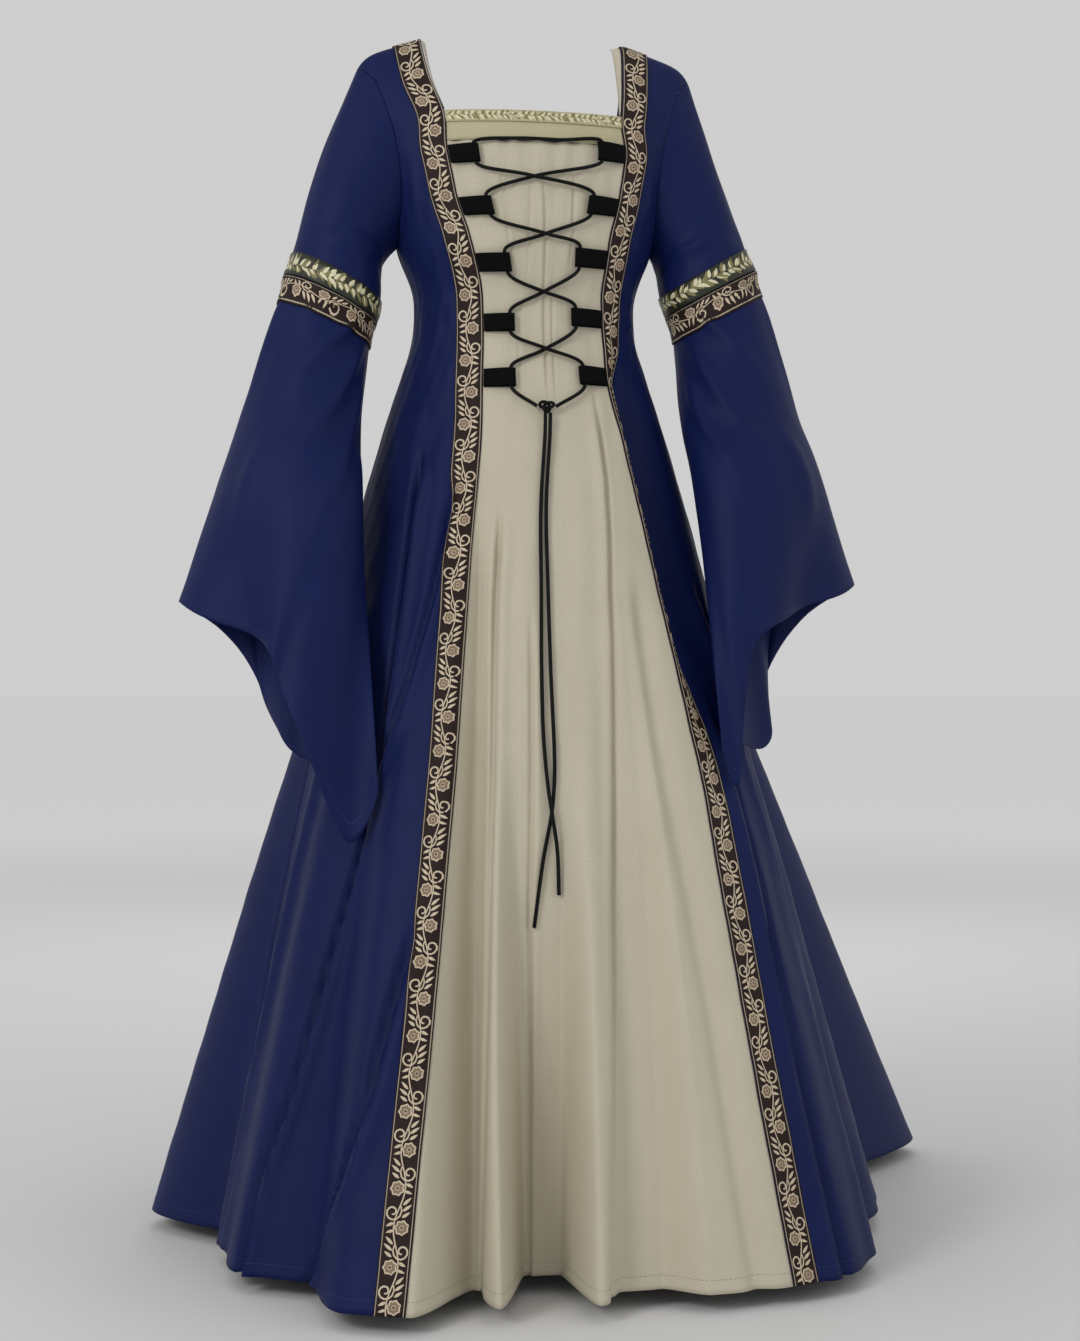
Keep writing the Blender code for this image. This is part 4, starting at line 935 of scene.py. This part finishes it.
def wrap(flat, frame_):
    # flat pattern places (across, along, height) put on a strip
    rows, cols = frame_["points"].shape[:2]
    r = np.clip(np.interp(flat[:, 1], frame_["along"], np.arange(rows)), 0, rows - 1.0001)
    c = np.clip((flat[:, 0] / frame_["width"] + 0.5) * (cols - 1), 0, cols - 1.0001)
    i, j = r.astype(int), c.astype(int)
    fr, fc = (r - i)[:, None], (c - j)[:, None]

    def between(table):
        return ((table[i, j] * (1 - fc) + table[i, j + 1] * fc) * (1 - fr)
                + (table[i + 1, j] * (1 - fc) + table[i + 1, j + 1] * fc) * fr)

    return between(frame_["points"]) + between(frame_["normals"]) * flat[:, 2:]


def addStroke(pattern, points, width, height, taper=0.0):
    # a domed thread line through flat points
    points = [Vector(p) for p in points]
    first, last = len(pattern["verts"]), len(points) - 1
    for k, p in enumerate(points):
        way = (points[min(last, k + 1)] - points[max(0, k - 1)]).normalized()
        aside = Vector((way.y, -way.x)) * width / 2 * (1 - taper * abs(2 * k / last - 1) ** 3)
        for share, tall in ((-1, 0.0), (0, height), (1, 0.0)):
            spot = p + aside * share
            pattern["verts"].append((spot.x, spot.y, tall))
    for k in range(last):
        for j in (0, 1):
            a = first + k * 3 + j
            pattern["faces"].append((a + 1, a, a + 3, a + 4))


def addLeaf(pattern, base, tip, width, height, steps=5):
    # a pointed leaf or petal with a raised rib
    base, tip = Vector(base), Vector(tip)
    way = tip - base
    aside = Vector((way.y, -way.x)).normalized()
    first = len(pattern["verts"])
    for k in range(steps + 1):
        t = k / steps
        half = width / 2 * math.sin(math.pi * t**0.8) ** 0.8 if 0 < k < steps else 0.0002
        for share, tall in ((-1, 0.0), (0, height * math.sin(math.pi * (0.15 + 0.7 * t))), (1, 0.0)):
            spot = base + way * t + aside * half * share
            pattern["verts"].append((spot.x, spot.y, tall))
    for k in range(steps):
        for j in (0, 1):
            a = first + k * 3 + j
            pattern["faces"].append((a + 1, a, a + 3, a + 4))


def addFlower(pattern, centre, radius, petals, turned, height):
    centre = Vector(centre)
    for k in range(petals):
        turn = turned + 2 * math.pi * k / petals
        way = Vector((math.cos(turn), math.sin(turn)))
        addLeaf(pattern, centre + way * radius * 0.30, centre + way * radius, radius * 0.88, height, 4)
    ring = [centre + Vector((math.cos(a), math.sin(a))) * radius * 0.22 for a in (0, 1.26, 2.51, 3.77, 5.03)]
    addStroke(pattern, ring + [ring[0]], radius * 0.20, height)


def addCurl(pattern, start, centre, turns, width, height):
    # a tendril from a start point that winds in round a centre
    start, centre = Vector(start), Vector(centre)
    away = start - centre
    angle, radius = math.atan2(away.y, away.x), away.length
    points = []
    for k in range(17):
        t = k / 16
        r = radius * (1 - 0.80 * t**0.8)
        points.append(centre + Vector((math.cos(angle + turns * t), math.sin(angle + turns * t))) * r)
    addStroke(pattern, points, width, height, 0.25)


def patternMesh(name, pattern):
    mesh = bpy.data.meshes.new(name)
    mesh.from_pydata(pattern["verts"], [], pattern["faces"])
    mesh.update()
    return mesh


def repeatTree():
    # Geometry Nodes: copies of one flat unit in a row, made real, with their material
    tree = bpy.data.node_groups.new("repeat along a strip", "GeometryNodeTree")
    sockets = {}
    for label, kind in (("Geometry", "NodeSocketGeometry"), ("Count", "NodeSocketInt"),
                        ("Spacing", "NodeSocketVector"), ("Thread", "NodeSocketMaterial")):
        sockets[label] = tree.interface.new_socket(label, in_out="INPUT", socket_type=kind).identifier
    tree.interface.new_socket("Geometry", in_out="OUTPUT", socket_type="NodeSocketGeometry")
    given = addNode(tree, "NodeGroupInput")
    line = addNode(tree, "GeometryNodeMeshLine", {"mode": "OFFSET"}, None,
                   {"Count": given.outputs["Count"], "Offset": given.outputs["Spacing"]})
    copies = addNode(tree, "GeometryNodeInstanceOnPoints", None, None,
                     {"Points": line.outputs[0], "Instance": given.outputs["Geometry"]})
    real = addNode(tree, "GeometryNodeRealizeInstances", None, None, {"Geometry": copies.outputs[0]})
    finish = addNode(tree, "GeometryNodeSetMaterial", None, None,
                     {"Geometry": real.outputs[0], "Material": given.outputs["Thread"]})
    addNode(tree, "NodeGroupOutput", None, None, {"Geometry": finish.outputs[0]})
    return tree, sockets


repeater, repeaterSockets = repeatTree()


def repeated(name, pattern, count, spacing, material):
    # the flat, repeated pattern as a plain mesh
    source = bpy.data.objects.new(name, patternMesh(name + "_unit", pattern))
    bpy.context.scene.collection.objects.link(source)
    nodes = source.modifiers.new("repeat", "NODES")
    nodes.node_group = repeater
    nodes[repeaterSockets["Count"]] = count
    nodes[repeaterSockets["Spacing"]] = (0.0, spacing, 0.0)
    nodes[repeaterSockets["Thread"]] = material
    graph = bpy.context.evaluated_depsgraph_get()
    mesh = bpy.data.meshes.new_from_object(source.evaluated_get(graph))
    bpy.data.objects.remove(source)
    return mesh


def layPattern(name, pattern, repeat, frame_, material, slotName, closed=False):
    # fits whole repeats to the strip's length and lays them on it
    count = max(1, round(frame_["length"] / repeat))
    spacing = frame_["length"] / count
    stretched = {"verts": [(x, y * spacing / repeat, z) for x, y, z in pattern["verts"]], "faces": pattern["faces"]}
    if not closed:
        top = frame_["length"]
        stretched["verts"] = [(x, min(top, max(0.0, y)), z) for x, y, z in stretched["verts"]]
    mesh = repeated(name, stretched, count, spacing, material)
    flat = np.zeros(len(mesh.vertices) * 3)
    mesh.vertices.foreach_get("co", flat)
    flat = flat.reshape(-1, 3)
    if closed:
        flat[:, 1] = flat[:, 1] % frame_["length"]
    # a map in metres of the flat ribbon, for the threads
    layer = mesh.uv_layers.new(name="UVMap")
    loops = np.zeros(len(mesh.loops), dtype=np.int32)
    mesh.loops.foreach_get("vertex_index", loops)
    layer.data.foreach_set("uv", flat[loops][:, :2].astype(np.float32).ravel())
    mesh.vertices.foreach_set("co", wrap(flat, frame_).ravel())
    mesh.polygons.foreach_set("use_smooth", [True] * len(mesh.polygons))
    mesh.update()
    return place(mesh, name, material, slotName)


floral = {"repeat": 0.076, "wave": 0.0042, "stem": 0.0014, "flower": 0.0078, "curl": 0.0054, "raised": 0.00030,
          "stroke": 0.0018, "piping": 0.0010, "pipingAt": 0.0146, "leaf": 0.0032}


def floralPatterns():
    # our own running vine: a round flower, a curl on one side and three leaves on the other, then turned about
    vine, heads = {"verts": [], "faces": []}, {"verts": [], "faces": []}
    long, wave, up, stroke = floral["repeat"], floral["wave"], floral["raised"], floral["stroke"]
    addStroke(vine, [(-wave * math.cos(2 * math.pi * (k / 32 - 0.12)), long * k / 32) for k in range(33)],
              floral["stem"], up)
    for sign, start in ((1, 0.0), (-1, 0.5)):
        y = long * start
        middle = (sign * 0.0040, y + 0.0085)
        addFlower(vine, middle, floral["flower"], 7, 0.4 * sign, up)
        addFlower(heads, middle, floral["flower"] * 0.84, 7, 0.4 * sign, up + 0.0003)
        addStroke(vine, [(middle[0] + 0.0022 * math.cos(k), middle[1] + 0.0022 * math.sin(k)) for k in range(7)],
                  0.0012, up + 0.0005)
        centre = (-sign * 0.0066, y + 0.0236)
        addCurl(vine, (centre[0] + sign * floral["curl"] * 1.5, centre[1] + 0.0060), centre, -sign * 8.8, stroke, up)
        addLeaf(vine, (-sign * 0.0046, y + 0.0132), (-sign * 0.0120, y + 0.0098), floral["leaf"], up)
        addLeaf(vine, (-sign * 0.0036, y + 0.0060), (-sign * 0.0116, y + 0.0036), floral["leaf"] * 0.9, up)
        for k, (out, rise) in enumerate(((0.0112, 0.0052), (0.0124, 0.0066), (0.0112, 0.0074))):
            root = y + 0.0184 + 0.0060 * k
            addLeaf(vine, (sign * 0.0034, root), (sign * out, root + rise), floral["leaf"], up)
    return vine, heads


def pipingPattern(repeat, places, width, height):
    pattern = {"verts": [], "faces": []}
    for x in places:
        addStroke(pattern, [(x, repeat * k / 12) for k in range(13)], width, height)
    return pattern


leafy = {"repeat": 0.086, "raised": 0.00045, "stem": 0.0009}


def leafPatterns(width, repeat, stemAt, step, reaches, leafWidth, seed):
    # irregular leaves off a wandering stem: olive ones below in painted shade, pale ones over them in painted highlight
    pale, shaded = {"verts": [], "faces": []}, {"verts": [], "faces": []}
    draw, up, half = random.Random(seed), leafy["raised"], width / 2
    count = max(4, round(repeat / step))
    stem = [(half * stemAt + 0.06 * half * math.sin(2 * math.pi * 3 * k / 36), repeat * k / 36) for k in range(37)]
    addStroke(shaded, stem, leafy["stem"], up * 0.6)
    for k in range(count):
        for sign, reach in ((1, reaches[0]), (-1, reaches[1])):
            for pattern, low, high in ((shaded, 0.75, 1.10), (pale, 0.62, 0.95)):
                y = repeat * (k + draw.uniform(0.0, 0.9)) / count
                x = half * (stemAt + draw.uniform(-0.10, 0.10))
                long = reach * draw.uniform(low, high)
                lean = draw.uniform(0.25, 1.15)
                tip = max(-half * 0.97, min(half * 0.97, x + sign * long * math.cos(lean * 0.8)))
                addLeaf(pattern, (x, y), (tip, y + long * math.sin(lean)), leafWidth * draw.uniform(0.7, 1.15),
                        up * (1.0 if pattern is pale else 0.6))
    return pale, shaded


bands = {"columns": 8, "bandLift": 0.0017, "pipingLift": 0.0004}


def layRibbon(name, frame_, width, slotName):
    # figure and edge lines of a floral ribbon
    scale = frame_["width"] / width
    for figure, part, thread in zip(floralPatterns(), ("_vine", "_flowers"), (figureThread, flowerThread)):
        figure["verts"] = [(x * scale, y, z + 0.0001) for x, y, z in figure["verts"]]
        layPattern(name + part, figure, floral["repeat"], frame_, thread, slotName)
    at = floral["pipingAt"] * scale
    edges = pipingPattern(floral["repeat"], (-at, at), floral["piping"], bands["pipingLift"])
    layPattern(name + "_edges", edges, floral["repeat"], frame_, edgeThread, slotName)


def makeTrims():
    for side, name in ((-1, "right"), (1, "left")):
        rows = rowHeights(hem, 0.0)
        inner, trimEnd, _ = sideAngles(side, rows)
        t = np.linspace(0, 1, bands["columns"] + 1)[None, :]
        angles = inner[:, None] + (trimEnd - inner)[:, None] * t
        if side < 0:
            angles = angles[:, ::-1]
        frame_ = strip(bodyPoint(angles, rows[:, None]), bands["bandLift"], shape["trimWidth"])
        mesh = gridMesh("trim_ribbon_" + name, frame_["points"])
        made = thicken(place(mesh, "trim_ribbon_" + name, ribbonGround, "floral_trim", "trim_" + name), 0.0010)
        declareSheet(made, frame_["points"])
        layRibbon("trim_" + name, frame_, shape["trimWidth"], "floral_trim")


def makeNeckBraid():
    rows = np.linspace(shape["braidEnd"], shape["neckline"], 5)
    w = np.linspace(0, 1, 61)
    points = bodyPoint(frontAngle(w[None, :], rows[:, None]), rows[:, None])
    frame_ = strip(points, bands["bandLift"])
    made = thicken(place(gridMesh("neck_braid", frame_["points"]), "neck_braid", khakiCrepe, "leaf_braid", "neckline_braid"), 0.0010)
    declareSheet(made, frame_["points"])
    turned = frame_["points"].transpose(1, 0, 2), frame_["normals"].transpose(1, 0, 2)
    middle = turned[0][:, 2]
    along = np.concatenate([[0.0], np.cumsum(np.linalg.norm(np.diff(middle, axis=0), axis=-1))])
    laid = {"points": turned[0], "normals": turned[1], "along": along, "length": float(along[-1]), "width": 0.0140}
    pale, shaded = leafPatterns(0.0138, 0.086, 0.15, 0.0058, (0.0058, 0.0075), 0.0032, 5)
    # olive leaves in painted shade first, then pale leaves in painted highlight over them
    layPattern("neck_braid_shade", shaded, 0.086, laid, braidShade, "leaf_braid")
    layPattern("neck_braid_leaves", pale, 0.086, laid, braidHighlightLeaf, "leaf_braid")


def makeArmBands():
    for side, name in ((-1, "right"), (1, "left")):
        gap = sleeves["bandGap"]
        for kind, low, high, ground, slotName in (
                ("leaf", sleeves["bandSeam"] - gap, sleeves["bandTop"], braidGround, "leaf_braid"),
                ("floral", sleeves["bandEnd"], sleeves["bandSeam"] + gap, ribbonGround, "floral_trim")):
            points = sleeveSurface(side, np.linspace(low, high, bands["columns"] + 1), sleeves["columns"])
            normals = gridNormals(points, True)
            outer = points + normals * bands["bandLift"]
            piece = "arm_%s_%s" % (kind, name)
            made = place(gridMesh(piece, outer, True), piece, ground, slotName, "arm_band_%s_%s" % (kind, name))
            declareSheet(thicken(made, 0.0010), outer, True)
            lap = np.concatenate([outer, outer[:, :1]], axis=1).transpose(1, 0, 2)
            face = np.concatenate([normals, normals[:, :1]], axis=1).transpose(1, 0, 2)
            middle = lap[:, lap.shape[1] // 2]
            along = np.concatenate([[0.0], np.cumsum(np.linalg.norm(np.diff(middle, axis=0), axis=-1))])
            width = float(np.linalg.norm(np.diff(lap[24], axis=0), axis=-1).sum())
            laid = {"points": lap, "normals": face, "along": along, "length": float(along[-1]), "width": width}
            if kind == "floral":
                layRibbon(piece, laid, shape["trimWidth"], slotName)
            else:
                pale, shaded = leafPatterns(width, leafy["repeat"], 0.30, 0.0086, (0.0105, 0.0150), 0.0052, 9 + side)
                # olive leaves in painted shade first, then pale leaves in painted highlight over them
                layPattern(piece + "_shade", shaded, leafy["repeat"], laid, braidShade, slotName, True)
                layPattern(piece + "_leaves", pale, leafy["repeat"], laid, braidHighlightLeaf, slotName, True)


makeTrims()
makeNeckBraid()
makeArmBands()
print("trims, braid and arm bands made")

# ---- hem stitching ----

sewing = {"stitch": 0.0032, "spacing": 0.0050, "thread": 0.0008, "raised": 0.0004, "above": 0.014, "rows": 6}
navyThread = clothMaterial("navy sewing thread", ("15224E", "2A3C78"), 0.8, 0.50, 0.0, 0.35, 0.2, 0.10)
beigeThread = clothMaterial("beige sewing thread", ("8F8770", "B5AD96"), 0.8, 0.50, 0.0, 0.35, 0.2, 0.10)


def sewHem(name, points, thread, slotName, closed=False):
    # one row of blind stitches a little above a hem, along its lowest rows
    low = points[:sewing["rows"]]
    normals = gridNormals(low, closed)
    if closed:
        low = np.concatenate([low, low[:, :1]], axis=1)
        normals = np.concatenate([normals, normals[:, :1]], axis=1)
    low, normals = low.transpose(1, 0, 2), normals.transpose(1, 0, 2)
    along = np.concatenate([[0.0], np.cumsum(np.linalg.norm(np.diff(low[:, 2], axis=0), axis=-1))])
    width = float(np.linalg.norm(np.diff(low, axis=1), axis=-1).sum(axis=1).mean())
    laid = {"points": low, "normals": normals, "along": along, "length": float(along[-1]), "width": width}
    unit = {"verts": [], "faces": []}
    x = min(sewing["above"], width * 0.9) - width / 2
    addStroke(unit, [(x, 0.0004), (x + 0.0003, sewing["stitch"] / 2), (x, sewing["stitch"])], sewing["thread"],
              sewing["raised"])
    layPattern(name, unit, sewing["spacing"], laid, thread, slotName)


def sewHems():
    threads = {"navy": navyThread, "beige": beigeThread}
    for name, points, thread, slotName, closed in hems:
        sewHem(name, points, threads[thread], slotName, closed)


sewHems()
print("hems stitched")

# ---- tabs ----


def makeTabs():
    for row, pair in enumerate(tabPairs):
        for side, name in ((-1, "right"), (1, "left")):
            height, length = pair[:2] if side < 0 else pair[2:]
            distances, lifts = np.array(tabProfile(length)[0]).T
            first, last = frontAngle(0, height), frontAngle(1, height)
            angles = np.array([walkAngle(np.array([edgeAngle(side, height)]), np.array([height]), -side * d)[0]
                               for d in distances])
            w = (angles - first) / (last - first)
            s = height + tabs["height"] * np.linspace(-0.5, 0.5, 7)
            points = lifted(frontAngle(w[None, :], s[:, None]), s[:, None], lifts[None, :], True)
            if side > 0:
                points = points[:, ::-1]
            piece = "tape_tab_%s_%d" % (name, row + 1)
            made = place(gridMesh(piece, points), piece, blackTape, "black_tape", "tab_%s_%d" % (name, row + 1))
            solid = thicken(made, tabs["wall"]).modifiers["wall"]
            solid.offset = 0.0
            declareSheet(made, points)


makeTabs()
print("tabs made")

# ---- stage ----

# the floor's far colour is paler as painted light, standing in for lamp light that falls off away from the middle
stage = {"floor": hem - 0.020, "reach": 60.0, "near": "D9D9D9", "far": "FBFBFB", "paleFrom": 1.5, "paleTo": 7.0}


def makeStage():
    # a studio floor, paler away from the middle as painted light that makes up for the lamp light falling off there,
    # which runs into the pale air behind
    floor, reach = stage["floor"], stage["reach"]
    rings = [0.0, 1.0, 2.0, 3.5, 6.0, 10.0, 20.0, reach]
    points = np.array([[(r * math.cos(a), r * math.sin(a), floor) for a in np.linspace(0, 2 * math.pi, 49)[:-1]]
                       for r in rings[1:]])
    mesh = gridMesh("studio_floor", points[::-1], True)
    work = bmesh.new()
    work.from_mesh(mesh)
    bmesh.ops.holes_fill(work, edges=[e for e in work.edges if e.is_boundary and e.verts[0].co.length < 2.5])
    work.to_mesh(mesh)
    work.free()
    made, tree = newMaterial("studio floor with painted lamp light")
    place3d = addNode(tree, "ShaderNodeTexCoord")
    away = addNode(tree, "ShaderNodeVectorMath", {"operation": "LENGTH"}, None, {0: place3d.outputs["Object"]})
    # painted light: the floor's colour grows paler with distance, where less lamp light reaches
    share = addNode(tree, "ShaderNodeMapRange", None, {"From Min": stage["paleFrom"], "From Max": stage["paleTo"]},
                    {"Value": away.outputs["Value"]})
    ramp = addNode(tree, "ShaderNodeValToRGB", None, None, {"Fac": share.outputs[0]})
    ramp.color_ramp.elements[0].color = hexColour(stage["near"])
    ramp.color_ramp.elements[1].color = hexColour(stage["far"])
    shader = addNode(tree, "ShaderNodeBsdfPrincipled", None, {"Roughness": 0.95, "Specular IOR Level": 0.0},
                     {"Base Color": ramp.outputs[0]})
    addNode(tree, "ShaderNodeOutputMaterial", None, None, {"Surface": shader.outputs[0]})
    sweep = bpy.data.objects.new("studio_floor", mesh)
    mesh.materials.append(made)
    bpy.context.scene.collection.objects.link(sweep)


lights = (
    # name, place, aim, size, watts
    ("key", (-2.5, -2.4, 0.9), (0.0, 0.0, -0.6), 1.1, 40),
    ("fill", (2.4, -2.4, 0.2), (0.0, 0.0, -0.7), 2.4, 10),
    ("rim", (0.6, 2.8, 1.2), (0.0, 0.0, -0.6), 2.0, 18),
)


def makeLights():
    for name, spot, aim, size, power in lights:
        lamp = bpy.data.lights.new(name, "AREA")
        lamp.energy, lamp.size = power, size
        made = bpy.data.objects.new(name, lamp)
        made.location = spot
        made.rotation_euler = (Vector(aim) - Vector(spot)).to_track_quat("-Z", "Y").to_euler()
        bpy.context.scene.collection.objects.link(made)
    world = bpy.data.worlds.new("studio")
    bpy.context.scene.world = world
    world.use_nodes = True
    world.node_tree.nodes["Background"].inputs["Color"].default_value = hexColour("FFFFFF")
    world.node_tree.nodes["Background"].inputs["Strength"].default_value = 0.62
    bpy.context.scene.view_settings.view_transform = "Standard"


makeStage()
makeLights()
print("stage and lights made")
